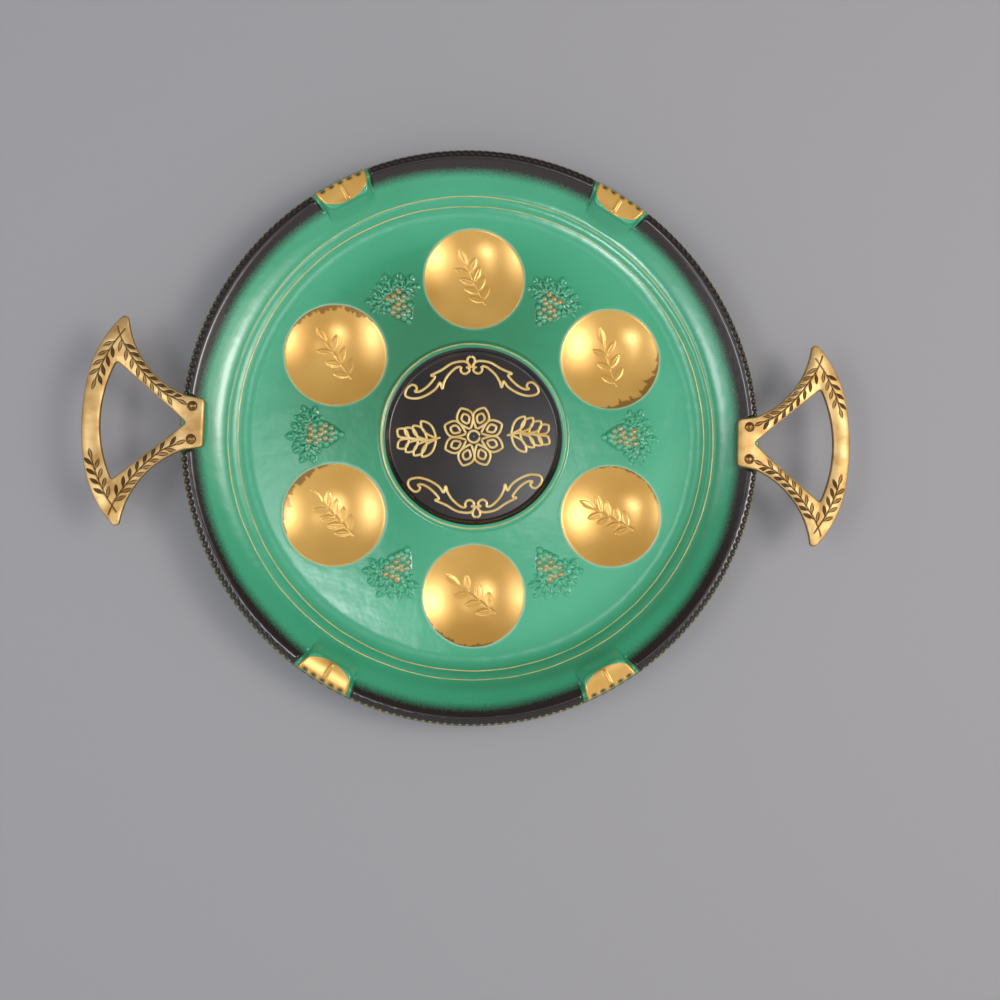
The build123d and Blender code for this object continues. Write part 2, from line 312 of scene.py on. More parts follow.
def goldLustreMaterial(name, g):
    # Fired gold lustre brushed over glaze: warm mirror with faint brush clouds, browner where the film is
    # thick and where a dark reflection is painted near a lining's edge, greenish where it is rubbed thin,
    # dark in the pricked dots
    material, tree, shader, place = startMaterial(name)
    cloud = addNode(tree, "TexNoise", {"Vector": place, "Scale": patternScale(g["cloudMm"]), "Detail": 1.5})
    share = addNode(tree, "MapRange", {"Value": cloud.outputs["Fac"], "From Min": g["deepFrom"],
                                       "From Max": g["deepTo"]})
    worn, soot, burntAndDarkReflection = (addNode(tree, "Attribute", attribute_name=mask).outputs["Fac"]
                         for mask in ("worn", "soot", "burntAndDarkReflection"))
    tone = layCoats(tree, hexColour(g["bright"]), [(share.outputs[0], g["deep"]), (burntAndDarkReflection, g["burntAndDarkReflection"]),
                                                   (worn, g["worn"]), (soot, g["soot"])])
    film = addNode(tree, "Math", {0: worn, 1: g["wornMirror"], 2: g["mirror"]}, operation="MULTIPLY_ADD")
    film = addNode(tree, "Math", {0: soot, 1: -g["mirror"], 2: film.outputs[0]}, operation="MULTIPLY_ADD",
                   use_clamp=True)
    brush = addNode(tree, "TexNoise", {"Vector": place, "Scale": patternScale(g["brushMm"]), "Detail": 3.0})
    gloss = addNode(tree, "Math", {0: brush.outputs["Fac"], 1: g["brushRoughness"], 2: g["roughness"]},
                    operation="MULTIPLY_ADD")
    finishShader(tree, shader, Base_Color=tone, Metallic=film.outputs[0], Roughness=gloss.outputs[0],
                 IOR=g["index"])
    return material


castBrass = {
    "bright": "#e4c286", "deep": "#c0965a", "patinaAndSideShade": "#34180a", "tarnishMm": 9.0, "deepFrom": 0.35,
    "deepTo": 0.72, "grainMm": 0.7, "grainHeightMm": 0.03, "grainStrength": 0.6, "roughness": 0.43,
    "tarnishRoughness": 0.14, "patinaRoughness": 0.3,
}


def castBrassMaterial():
    # Sand-cast brass, rubbed bright on its high faces, with brown-black patina left in the engraved lines,
    # and painted shade with the patina colour down its side walls and underneath
    g = castBrass
    material, tree, shader, place = startMaterial("CastBrass")
    tarnish = addNode(tree, "TexNoise", {"Vector": place, "Scale": patternScale(g["tarnishMm"]),
                                         "Detail": 6.0})
    share = addNode(tree, "MapRange", {"Value": tarnish.outputs["Fac"], "From Min": g["deepFrom"],
                                       "From Max": g["deepTo"]})
    patinaAndSideShade = addNode(tree, "Attribute", attribute_name="patinaAndSideShade").outputs["Fac"]
    tone = layCoats(tree, hexColour(g["bright"]), [(share.outputs[0], g["deep"]), (patinaAndSideShade, g["patinaAndSideShade"])])
    gloss = addNode(tree, "Math", {0: share.outputs[0], 1: g["tarnishRoughness"], 2: g["roughness"]},
                    operation="MULTIPLY_ADD")
    gloss = addNode(tree, "Math", {0: patinaAndSideShade, 1: g["patinaRoughness"], 2: gloss.outputs[0]},
                    operation="MULTIPLY_ADD")
    grain = addNode(tree, "TexNoise", {"Vector": place, "Scale": patternScale(g["grainMm"]), "Detail": 2.0})
    bump = addNode(tree, "Bump", {"Height": grain.outputs["Fac"], "Distance": g["grainHeightMm"] * mm,
                                  "Strength": g["grainStrength"]})
    finishShader(tree, shader, Base_Color=tone, Metallic=1.0, Roughness=gloss.outputs[0],
                 Normal=bump.outputs[0])
    return material


# high tone, low tone, metallic, roughness at the high tone and size of the clouds in millimetres
fittingTones = {
    "RubbedCopperRivet": ("#b28a52", "#5a3a1e", 0.95, 0.26, 1.2),      # rubbed tops, brown hollows
    "StampedBrassBurr": ("#c9a35c", "#8a6630", 1.0, 0.24, 2.5),        # plain stamped brass, dulled
    "VulcanisedFibre": ("#5a2a20", "#3a1a14", 0.0, 0.52, 1.5),         # dense oxblood fibre board
}
fittingSurface = {"lowFrom": 0.38, "lowTo": 0.68, "lowRoughness": 0.2, "bumpMm": 0.04}


def fittingMaterial(name):
    # two tones of one finish, clouded together, with the roughness following the cloud
    g = fittingSurface
    high, low, metallic, roughness, cloudMm = fittingTones[name]
    material, tree, shader, place = startMaterial(name)
    cloud = addNode(tree, "TexNoise", {"Vector": place, "Scale": patternScale(cloudMm), "Detail": 4.0})
    share = addNode(tree, "MapRange", {"Value": cloud.outputs["Fac"], "From Min": g["lowFrom"],
                                       "From Max": g["lowTo"]})
    tone = layCoats(tree, hexColour(high), [(share.outputs[0], low)])
    gloss = addNode(tree, "Math", {0: share.outputs[0], 1: g["lowRoughness"], 2: roughness},
                    operation="MULTIPLY_ADD")
    bump = addNode(tree, "Bump", {"Height": cloud.outputs["Fac"], "Distance": g["bumpMm"] * mm})
    finishShader(tree, shader, Base_Color=tone, Metallic=metallic, Roughness=gloss.outputs[0],
                 Normal=bump.outputs[0])
    return material


green = greenGlazeMaterial()
black = blackGlazeMaterial()
gold = goldLustreMaterial("FiredGoldLustre", goldLustre)
lineGold = goldLustreMaterial("PaintedGoldLine", goldLineLustre)
brass = castBrassMaterial()
print("materials made")


# Tray: one height for every point of its top face

tray = {
    "floor": 14.0, "underfloor": 8.5, "clayWall": 5.5,
    # inset from the edge, height and slope at points of the cove and lip
    "stations": [
        (39.5, 14.0, 0.0), (28.5, 16.2, 0.42), (25.5, 17.0, 0.15), (20.0, 18.8, 0.5),
        (16.0, 21.1, 0.64), (11.0, 24.5, 0.72), (6.4, 27.85, 0.72), (5.3, 28.32, 0.2),
        (4.4, 28.37, -0.05), (2.6, 28.05, -0.28), (1.4, 27.3, -0.9), (0.6, 25.4, -3.4),
    ],
    # inset and height of the rounded edge's top, its outermost point and its lower end
    "nose": [(0.6, 25.4), (0.0, 24.2), (1.6, 22.6)],
    "lipStart": (152.0, 155.0),
    "recessRadius": 51.3, "recessDepth": 2.5, "recessRun": 2.9, "recessEdge": 0.2,
    "beadRadius": 53.3, "beadHalf": 2.3, "beadHeight": 1.0,
}
well = {
    "radius": 29.2, "circle": 92.2, "turn": 31.5, "depth": 5.8, "power": 2.15, "edgeRound": 0.5, "reach": 3.0,
    "underDepth": 7.0, "underRound": 1.5,
}
# dimples of the lip: pitch in degrees, half-width as a share of the pitch
dots = {
    "radius": 162.6, "depth": 1.1, "halfLong": 1.6, "halfWide": 0.42, "power": 1.4, "pitch": 1.44,
    "lugPitch": 2.0, "lugReach": 0.5, "seatClear": (0.8, 2.2),
}
lug = {
    "angles": (60.0, 120.0, 240.0, 300.0), "innerRadius": 150.6, "outerRadius": 163.7,
    "innerWidth": 25.0, "outerWidth": 33.0, "corner": 3.5, "round": 1.2, "fillet": 2.0,
    "top": 28.4, "crown": 0.012, "crownRadius": 157.5, "endSlope": 2.4, "innerSlope": 1.0,
    "ribHeight": 0.75, "ribHalf": 0.85, "ribStart": (151.5, 153.5), "ribEnd": (160.0, 161.2),
    "lipDip": 1.7, "lipBack": (1.6, 3.6),
}
seat = {
    "angles": (0.0, 180.0), "innerRadius": 153.4, "outerRadius": 164.6,
    "innerWidth": 25.6, "outerWidth": 31.6, "corner": 1.5, "round": 0.6, "fillet": 0.3,
    "top": 26.0, "bottom": 18.5, "bossEdge": 0.3, "endSlope": 3.0, "innerSlope": 1.3,
    "gap": 0.6, "lipSlope": 2.5, "lipReach": 6.0, "lipFillet": 0.8,
    "rivetRadius": 158.0, "rivetSpacing": 18.6, "spotface": 5.5,
}
clear = 99.0                            # a height above everything, for where a cut doesn't reach
wellCentres = [turned(well["circle"], 0.0, well["turn"] + 60 * k) for k in range(6)]


def traySection():
    # radius and height of close points along the cove and lip, with a cubic between each two stations
    t = np.linspace(0, 1, 60)
    points = [np.array([[0.0, tray["floor"]]])]
    for (insetA, heightA, slopeA), (insetB, heightB, slopeB) in zip(tray["stations"], tray["stations"][1:]):
        run = insetA - insetB
        rise = hermite(t, heightA, run * slopeA, heightB, run * slopeB)
        points.append(np.stack([plateRadius - insetA + t * run, rise], 1))
    return np.concatenate(points).T


sectionRadius, sectionHeight = traySection()


def padHalfWidth(pad, out):
    # half the width of a tapered rim pad at a distance out from the plate's centre, and its taper
    taper = (pad["outerWidth"] - pad["innerWidth"]) / 2 / (plateRadius - pad["innerRadius"])
    return pad["innerWidth"] / 2 + taper * (out - pad["innerRadius"]), taper


def padDistance(x, y, angle, pad):
    # how far a point lies outside a tapered rim pad with rounded inner corners: overall, past its
    # ends, past its inner side and past its outer arc
    out, across = turned(x, y, -angle)
    half, taper = padHalfWidth(pad, out)
    ends = (np.abs(across) - half) / math.hypot(1, taper)
    inner = pad["innerRadius"] - out
    outer = np.hypot(x, y) - pad["outerRadius"]
    a, b = ends + pad["corner"], inner + pad["corner"]
    plan = np.hypot(np.maximum(a, 0), np.maximum(b, 0)) + np.minimum(np.maximum(a, b), 0) - pad["corner"]
    return np.maximum(plan, outer), ends, inner, outer


def padTop(x, y, angle, pad, top):
    # a loaf: flat at top, a quarter round along the edge, then walls that slope down outside it
    away, ends, inner, outer = padDistance(x, y, angle, pad)
    lip = np.clip(away + pad["round"], 0, pad["round"])
    drop = pad["round"] - np.sqrt(np.maximum(pad["round"] ** 2 - lip ** 2, 0))
    falls = [pad["endSlope"] * ends, pad["innerSlope"] * inner, pad["endSlope"] * outer]
    walls = np.sqrt(np.sum(np.maximum(falls, 0) ** 2, axis=0))
    corner = np.maximum(away, 0) * pad["innerSlope"]
    return top - drop - np.maximum(walls, corner)


def nearest(x, y, pad):
    # distance outside the nearest of a kind of pad
    return np.min([padDistance(x, y, angle, pad)[0] for angle in pad["angles"]], axis=0)


def dotDepth(x, y):
    # oval dimples pricked along the lip, closer there than on the lugs: (1 - d^2)^power, d being 1 on
    # the outline
    pitch = np.where(nearest(x, y, lug) < dots["lugReach"], dots["lugPitch"], dots["pitch"])
    turns = np.degrees(np.arctan2(y, x)) / pitch
    d = np.hypot((turns - np.round(turns)) / dots["halfWide"],
                 (np.hypot(x, y) - dots["radius"]) / dots["halfLong"])
    return np.clip(1 - d * d, 0, 1) ** dots["power"]


def trayHeight(x, y):
    # section, recess and bead by radius; wells as round bowls; lugs and seats as loaves on the rim; less
    # the dots
    x, y = np.asarray(x, float), np.asarray(y, float)
    r = np.hypot(x, y)
    z = np.interp(r, sectionRadius, sectionHeight)
    z = z - tray["recessDepth"] * (1 - smoothStep(tray["recessRadius"] - tray["recessRun"],
                                                  tray["recessRadius"] + tray["recessEdge"], r))
    z = z + tray["beadHeight"] * np.clip(1 - ((r - tray["beadRadius"]) / tray["beadHalf"]) ** 2, 0, 1) ** 2
    for cx, cy in wellCentres:
        d = np.hypot(x - cx, y - cy)
        bowl = tray["floor"] - well["depth"] * (1 - (d / well["radius"]) ** well["power"])
        z = softMin(z, np.where(d < well["radius"] + well["reach"], bowl, clear), well["edgeRound"])
    nearLug = 1 - smoothStep(*lug["lipBack"], nearest(x, y, lug))
    z = z - lug["lipDip"] * smoothStep(*tray["lipStart"], r) * nearLug
    for angle in lug["angles"]:
        out, across = turned(x, y, -angle)
        ribRun = smoothStep(*lug["ribStart"], out) * (1 - smoothStep(*lug["ribEnd"], out))
        rib = lug["ribHeight"] * np.exp(-(across / lug["ribHalf"]) ** 2) * ribRun
        top = lug["top"] - lug["crown"] * (out - lug["crownRadius"]) ** 2 + rib
        z = softMax(z, padTop(x, y, angle, lug, top), lug["fillet"])
    toSeat = nearest(x, y, seat)
    cut = seat["top"] + seat["lipSlope"] * np.maximum(toSeat - seat["gap"], 0)
    z = softMin(z, np.where(toSeat < seat["lipReach"], cut, clear), seat["lipFillet"])
    for angle in seat["angles"]:
        z = softMax(z, padTop(x, y, angle, seat, seat["top"]), seat["fillet"])
    return z - dots["depth"] * dotDepth(x, y) * smoothStep(*dots["seatClear"], toSeat)


def underHeight(x, y):
    # the tray's underfloor, with a bulge of even clay under each well
    z = np.full(np.shape(x), tray["underfloor"])
    dishRadius = (well["radius"] ** 2 + well["underDepth"] ** 2) / 2 / well["underDepth"]
    bulgeRadius = dishRadius + tray["clayWall"]
    for cx, cy in wellCentres:
        d = np.minimum(np.hypot(x - cx, y - cy), bulgeRadius)
        bulge = tray["floor"] + dishRadius - well["underDepth"] - np.sqrt(bulgeRadius ** 2 - d * d)
        z = softMin(z, bulge, well["underRound"])
    return z


def underSeat(x, y, z):
    # the seat's flat boss below the rim, with a round flat milled for each washer
    for angle in seat["angles"]:
        away = padDistance(x, y, angle, seat)[0]
        z = np.where(away < seat["bossEdge"], np.minimum(z, seat["bottom"]), z)
        out, across = turned(x, y, -angle)
        toRivet = np.hypot(out - seat["rivetRadius"], np.abs(across) - seat["rivetSpacing"] / 2)
        z = np.where(toRivet < seat["spotface"], np.maximum(z, seat["bottom"]), z)
    return z


# Tray skin: rings of points, close together round the dots, lugs and seats, wide apart elsewhere

perDegree = 6                           # columns to a degree where they are closest
skin = {
    "padReach": 7.7,                    # degrees to each side of a lug or seat that have close columns
    # rows of a floor sector: -1 at the well's centre, 0 at its lip, 1 at the sector's outline
    "sectorRows": [-0.97, -0.85, -0.7, -0.5, -0.3, -0.15, -0.06, -0.02, 0.0,
                   0.015, 0.04, 0.1, 0.25, 0.5, 0.75, 1.0],
    "sectorSides": 36, "liningSink": 0.25, "liningShare": 0.985, "glazeSink": 0.12,
    # radii of the rings, from the centre out over the top
    "recessRings": (3, 12, 22, 32, 40, 46), "recessEdgeRings": (47.8, 48.6, 49.4, 50.2),
    "beadRings": (51.0, 51.7, 52.3, 52.9, 53.6, 54.3, 55.0, 55.6, 56.2),
    "coveRings": np.arange(125.5, 145, 0.75), "rampRings": np.arange(145.5, 150, 0.9),
    "lipRings": np.arange(150, 160.5, 0.5), "dotRings": np.linspace(160.8, 164.4, 10),
    # and back underneath: rings of the nose, radius and height under the lip and down the foot ring
    "noseRings": 8, "noseFull": 0.3,
    "underLip": ((163.4, 22.6), (150.0, 15.0), (138.0, 10.8)), "underLipRings": 12,
    "foot": [(134.6, 9.3), (133.3, 8.4), (132.9, 7.4), (132.4, 3.6), (132.1, 1.0), (131.6, 0.3),
             (130.9, 0.0), (128.6, 0.0), (127.9, 0.3), (127.4, 1.0), (126.9, 5.0), (126.6, 7.3),
             (126.0, 8.2), (124.8, 8.5)],
    "underfloorRings": np.arange(122.0, 2.0, -6.0), "weldMm": 0.003,
}
fineColumns = np.arange(360 * perDegree)
wideColumns = np.arange(1, len(fineColumns), perDegree)
sparseColumns = wideColumns[::2]
toPad = np.abs((fineColumns / perDegree + 30) % 60 - 30)
mixedColumns = np.where((toPad < skin["padReach"]) | (fineColumns % perDegree == 1))[0]


def stitch(colsA, startA, colsB, startB):
    # faces from ring A out to ring B; where one has only some of the other's columns, one face spans the rest
    if len(colsA) == len(colsB):
        j = np.arange(len(colsA))
        k = (j + 1) % len(colsA)
        return np.stack([startA + j, startB + j, startB + k, startA + k], 1).tolist()
    outward = len(colsA) < len(colsB)
    few, many = (colsA, colsB) if outward else (colsB, colsA)
    where = np.searchsorted(many, few)
    faces = []
    for j, a in enumerate(where):
        b = where[(j + 1) % len(few)]
        span = [int(k) % len(many) for k in range(a, b + (len(many) if b <= a else 0) + 1)]
        k = (j + 1) % len(few)
        if outward:
            faces.append([startA + j, *[startB + m for m in span], startA + k])
        else:
            faces.append([startB + j, startB + k, *[startA + m for m in reversed(span)]])
    return faces


def fan(hub, first, number):
    # triangles from one point to each side of a ring of points
    return [[hub, first + j, first + (j + 1) % number] for j in range(number)]


def sectorPoints(k):
    # one sixth of the floor: loops round the well that grow from its lip to the sector's own outline
    innerRadius, outerRadius = skin["beadRings"][-1], plateRadius - tray["stations"][0][0]
    columns = 1 + perDegree * (60 * k + np.arange(61))
    arc = np.stack(polar(1.0, np.radians(columns / perDegree)), 1)
    side = np.linspace(innerRadius, outerRadius, skin["sectorSides"] + 1)[:, None]
    outline = np.concatenate([outerRadius * arc[:-1], side[:0:-1] * arc[-1], innerRadius * arc[:0:-1],
                              side[:-1] * arc[0]])
    centre = np.array(wellCentres[k])
    ray = outline - centre
    lip = centre + well["radius"] * ray / np.hypot(*ray.T)[:, None]
    grown = [lip + u * (outline - lip) for u in skin["sectorRows"] if u >= 0]
    shrunk = [centre + (1 + u) * (lip - centre) for u in skin["sectorRows"] if u < 0]
    return np.array(shrunk + grown)


def ringHeight(kind, level, x, y):
    # height of a ring's points, by the part of the tray that it lies on
    if kind == "top":
        return trayHeight(x, y)
    if kind == "recess":
        return trayHeight(x, y) - skin["glazeSink"]         # the black glaze lies on top of this
    if kind == "underfloor":
        return underHeight(x, y)
    z = np.full(len(x), level)
    if kind == "underLip":
        return underSeat(x, y, z)
    if kind == "nose":
        # the edge follows the lip's dips at its top, and none at its outermost point
        (topInset, topLevel), (_, outLevel), _ = tray["nose"]
        edge = (plateRadius - topInset) / np.hypot(x, y)
        dip = trayHeight(edge * x, edge * y) - topLevel
        z = z + dip * max(level - outLevel, 0) / (topLevel - outLevel)
    return z


def trayRings():
    # every ring as columns, kind, radius and level, and the place of the first beyond the floor sectors
    s = skin
    rings = [(sparseColumns, "recess", r, 0.0) for r in s["recessRings"]]
    rings += [(wideColumns, "recess", r, 0.0) for r in s["recessEdgeRings"]]
    rings += [(wideColumns, "top", r, 0.0) for r in s["beadRings"]]
    beyondFloor = len(rings)
    rings += [(wideColumns, "top", r, 0.0) for r in s["coveRings"]]
    rings += [(mixedColumns, "top", r, 0.0) for r in (*s["rampRings"], *s["lipRings"])]
    rings += [(fineColumns, "top", r, 0.0) for r in s["dotRings"]]
    nose = bendThrough(*[(plateRadius - inset, level) for inset, level in tray["nose"]], s["noseRings"])
    fuller = s["noseFull"] * np.sin(np.linspace(0, np.pi, s["noseRings"]))
    nose[:, 0] = np.minimum(nose[:, 0] + fuller, plateRadius)
    rings += [(mixedColumns, "nose", r, level) for r, level in nose[1:-1]]
    underLip = circleThrough(*s["underLip"], s["underLipRings"])
    rings += [(mixedColumns, "underLip", r, level) for r, level in underLip]
    rings += [(sparseColumns, "foot", r, level) for r, level in s["foot"]]
    rings += [(sparseColumns, "underfloor", r, 0.0) for r in s["underfloorRings"]]
    return rings, beyondFloor


def trayBody():
    # floor sectors round the wells, plus rings from the centre out over the lip and back underneath
    points, faces = [], []
    count = 0

    def put(block):
        # keeps a block of points and gives the number of its first
        nonlocal count
        points.append(block)
        count += len(block)
        return count - len(block)

    sink = skin["liningSink"]                               # the gold lining lies on top of this
    for k, (cx, cy) in enumerate(wellCentres):
        x, y = np.moveaxis(sectorPoints(k), -1, 0)
        inWell = np.hypot(x - cx, y - cy) < skin["liningShare"] * well["radius"]
        first = put(pointRows(x, y, trayHeight(x, y) - sink * inWell))
        faces.extend((gridFaces(*x.shape, True) + first).tolist())
        hub = put(np.array([[cx, cy, trayHeight(cx, cy) - sink]]))
        faces.extend(fan(hub, first, x.shape[1]))

    rings, beyondFloor = trayRings()
    for place, (columns, kind, r, level) in enumerate(rings):
        x, y = polar(r, np.radians(columns / perDegree))
        first = put(pointRows(x, y, ringHeight(kind, level, x, y)))
        if place == 0:
            hub = put(np.array([[0, 0, trayHeight(0, 0) - skin["glazeSink"]]]))
            faces.extend(fan(hub, first, len(columns)))
        elif place != beyondFloor:
            faces.extend(stitch(*last, columns, first))
        last = (columns, first)
    hub = put(np.array([[0, 0, underHeight(0.0, 0.0)]]))
    faces.extend(face[::-1] for face in fan(hub, last[1], len(last[0])))

    mesh = bpy.data.meshes.new("trayBody")
    mesh.from_pydata(np.concatenate(points) * mm, [], faces)
    work = bmesh.new()
    work.from_mesh(mesh)
    bmesh.ops.remove_doubles(work, verts=work.verts, dist=skin["weldMm"] * mm)
    work.to_mesh(mesh)
    work.free()
    co = np.zeros(len(mesh.vertices) * 3)
    mesh.vertices.foreach_get("co", co)
    x, y, z = co.reshape(-1, 3).T / mm
    return dressPiece("trayBody", mesh, green, glazeMasks(x, y, z), "plate_body")


airbrush = {
    "inner": 149.4, "outer": 157.6, "wander": 0.25, "lean": 1.2, "leanAngle": 45.0,
    "lugClear": (1.0, 3.0), "seatClear": (0.2, 1.6), "underEdge": (159.0, 164.0),
}
# the pooling mask is 0 where the glaze is thinnest and 1 where it is deepest; it also carries painted shade
# and light by the side a surface faces, and a painted pale highlight round each well's lip
glazePool = {
    "level": 0.34, "least": 0.08, "most": 0.85, "underneath": 0.5,
    "bendStepMm": 0.8, "bendShare": 0.2, "lugReach": 9.0, "lugBend": 0.7,
    "middle": (62, 108), "middleShare": 0.05, "thin": (92, 116), "thinShare": 0.14,
    "cove": (128, 136), "coveShare": 0.6,
    # painted shade and light by side: the direction in degrees, how much darker towards it by radius (below 0
    # for lighter), and its least on the far side
    "shadeAngle": 305.0, "shadeRadii": (58, 112, 136, 144, 148), "shadeShares": (-0.2, -0.2, 0.24, 0.24, 0.08),
    "farRadii": (112, 130), "farLeast": (-1.0, -0.2),
    # a pale line painted over each well's lip as a highlight, partly in clay colour, and the wiped foot
    "lipOffset": 0.35, "lipHalf": 0.35, "lipHighlightPaleness": 0.3, "lipHighlightClayShare": 0.5, "footBare": (0.35, 0.8),
    # what counts as the top face: heights over this on the floor, over a share of the rim's height beyond it
    "floorSide": 10.9, "rimStart": 138.0, "rimShare": 0.9, "rimDrop": 1.5,
}


def glazeMasks(x, y, z):
    # airbrushed rim by radius, held off the lugs and seats; glaze pooling from the height's curvature, with
    # painted shade and light by the side a surface faces; bare clay on the foot's resting face, and a painted
    # pale highlight over each well's lip
    a, p = airbrush, glazePool
    r, angle = np.hypot(x, y), np.arctan2(y, x)
    top, toLug = trayHeight(x, y), nearest(x, y, lug)
    topSide = z > np.where(r > p["rimStart"], p["rimShare"] * (top - p["rimDrop"]), p["floorSide"])
    wander = np.sin(5 * angle + 1.0) + 0.6 * np.sin(11 * angle + 2.3) + 0.4 * np.sin(23 * angle + 0.4)
    lean = a["lean"] * np.cos(angle - math.radians(a["leanAngle"]))
    spray = smoothStep(a["inner"], a["outer"], r + lean + a["wander"] * wander)
    spray = spray * smoothStep(*a["lugClear"], toLug) * smoothStep(*a["seatClear"], nearest(x, y, seat))
    spray = spray * np.where(topSide, 1.0, smoothStep(*a["underEdge"], r))
    h = p["bendStepMm"]
    bend = (trayHeight(x + h, y) + trayHeight(x - h, y) + trayHeight(x, y + h) + trayHeight(x, y - h)
            - 4 * top) / h ** 2
    bend = bend * (1 - p["lugBend"] * (toLug < p["lugReach"]))
    thin = p["thinShare"] * smoothStep(*p["thin"], r) * (1 - p["coveShare"] * smoothStep(*p["cove"], r))
    inward = p["middleShare"] * (1 - smoothStep(*p["middle"], r)) - thin
    # painted shade and light: towards the given angle the cove is darkened and the floor nearer the middle
    # lightened, as those surfaces face away from and towards the light
    toward = np.cos(angle - math.radians(p["shadeAngle"]))
    paintedSideShading = (np.interp(r, p["shadeRadii"], p["shadeShares"])
           * np.maximum(toward, np.interp(r, p["farRadii"], p["farLeast"])))
    poolingAndPaintedLight = np.clip(p["level"] + inward + paintedSideShading + p["bendShare"] * bend, p["least"], p["most"])
    # painted highlight: a pale, partly clay-coloured line round each well's lip, on the top face only
    offLip = np.min([np.abs(np.hypot(x - cx, y - cy) - well["radius"] - p["lipOffset"])
                     for cx, cy in wellCentres], axis=0)
    paintedLipHighlight = topSide * np.exp(-(offLip / p["lipHalf"]) ** 2)
    poolingAndPaintedLight = np.where(topSide, poolingAndPaintedLight, p["underneath"]) - p["lipHighlightPaleness"] * paintedLipHighlight
    bareClayAndLipHighlight = np.maximum(1 - smoothStep(*p["footBare"], z), p["lipHighlightClayShare"] * paintedLipHighlight)
    return {"spray": spray, "poolingAndPaintedLight": poolingAndPaintedLight, "bareClayAndLipHighlight": bareClayAndLipHighlight}


trayPiece = trayBody()
print("tray:", len(trayPiece.data.vertices), "points")


# Gold linings of the six wells, each with a shallow raised sprig

wellSprig = {
    "stemHalf": 0.45, "height": 0.45, "leafLength": 9.5, "leafWidth": 3.8, "leafLean": 48.0,
    "leafStagger": 0.7, "veinHalf": 0.35, "veinDepth": 0.45, "reach": 17.0, "turn": -18.0, "turnStep": -9.0,
}
lining = {"hub": 0.15, "flat": 27.9, "rows": 57, "edge": (28.3, 28.6, 28.85, 29.05, 29.2), "columns": 240,
          "lift": 0.05, "tuck": -0.06}
# direction in degrees and depth of the brown stretch near each lining's edge, painted where the bowl
# mirrors dark surroundings and standing also for thickly fired film, and its share of brown
wellDarkReflection = {
    "angles": (-45.0, 70.0, 95.0, 150.0, 250.0, 60.0), "reaches": (4.2, 0.0, 3.4, 3.6, 1.6, 1.2),
    "share": 0.75, "spread": (0.45, 0.95), "least": 0.4, "edge": (-0.2, 0.5),
}


def almond(a, b, length, width):
    # height 1 on the axis to 0 at the outline of a pointed leaf lying along a from 0 to length
    half = width / 2 * np.sin(np.pi * np.clip(a / length, 0, 1)) ** 0.8
    return np.clip(1 - (b / np.maximum(half, 1e-6)) ** 2, 0, 1) * (a > 0) * (a < length)


def sprigRelief(u, v, pairs):
    # a stem along v with pairs of pointed leaves and one at its end, as a raised height from 0 to 1
    s = wellSprig
    relief = np.exp(-(u / s["stemHalf"]) ** 2) * (np.abs(v + 1) < s["reach"] - 2)
    for k in range(pairs):
        base = -s["reach"] + 4 + k * (2 * s["reach"] - 10) / pairs
        for side in (-1, 1):
            a, b = turned(u, v - base - s["leafStagger"] * side, -(90 - side * s["leafLean"]))
            leaf = np.sqrt(almond(a, b, s["leafLength"], s["leafWidth"]))
            relief = np.maximum(relief, leaf * (1 - s["veinDepth"] * np.exp(-(b / s["veinHalf"]) ** 2)))
    tip = almond(v - s["reach"] + 7, u, s["leafLength"], s["leafWidth"])
    return np.maximum(relief, np.sqrt(tip))


def wellLinings():
    # polar grid over each bowl, a hair above the clay, its edge turned down into the glaze
    w = wellDarkReflection
    flat = np.linspace(lining["hub"], lining["flat"], lining["rows"])
    radius = np.concatenate([flat, lining["edge"]])[:, None]
    angle = roundAngles(lining["columns"])
    u, v = polar(radius, angle)
    lift = np.where(radius < lining["edge"][-1], lining["lift"], lining["tuck"])
    faces = gridFaces(len(radius), len(angle), True).tolist() + [list(range(len(angle)))]
    for k, (cx, cy) in enumerate(wellCentres):
        x, y = cx + u, cy + v
        alongSprig = turned(u, v, wellSprig["turn"] + wellSprig["turnStep"] * k)
        z = trayHeight(x, y) + lift + wellSprig["height"] * sprigRelief(*alongSprig, 3 + k % 2)
        ragged = (0.5 * np.sin(9 * angle + 2 * k) + 0.45 * np.sin(23 * angle + k) + 0.35 * np.sin(47 * angle)
                  + 0.25 * np.sin(71 * angle + k))
        # painted reflection: a ragged brown stretch on one side of each lining's edge, where the bowl mirrors
        # dark surroundings
        toward = np.cos(angle - math.radians(w["angles"][k]))
        inset = w["reaches"][k] * smoothStep(*w["spread"], toward) * (0.75 + 0.5 * ragged)
        burntAndDarkReflection = w["share"] * smoothStep(*w["edge"], radius - (well["radius"] - inset)) * (inset > w["least"])
        makePiece(f"wellLining_{k + 1}", pointRows(x, y, z), faces, gold, {"burntAndDarkReflection": burntAndDarkReflection})


wellLinings()
print("well linings made")


# Black medallion, bead line and gold lines on the cove

def ringBand(name, radii, lifts, columns, material, worn=None, wander=None):
    # a band carried round the plate: each row a radius with its lift above the tray, wandering a little
    angle = roundAngles(columns)
    r = np.asarray(radii)[:, None] + (wander(angle) if wander else np.zeros(columns))
    x, y = polar(r, angle)
    z = trayHeight(x, y) + np.asarray(lifts)[:, None]
    masks = {"worn": np.tile(worn(angle), (len(radii), 1))} if worn else None
    return makePiece(name, pointRows(x, y, z), gridFaces(len(radii), columns, True), material, masks)


medallionRows = np.concatenate([np.linspace(0.4, 47, 24), np.linspace(47.6, 51.2, 10), [51.5, 51.7]])
medallionLift = np.full(len(medallionRows), 0.06)
medallionLift[-1] = -0.05                                   # its edge is turned down into the green
ringBand("medallionGlaze", medallionRows, medallionLift, 360, black)

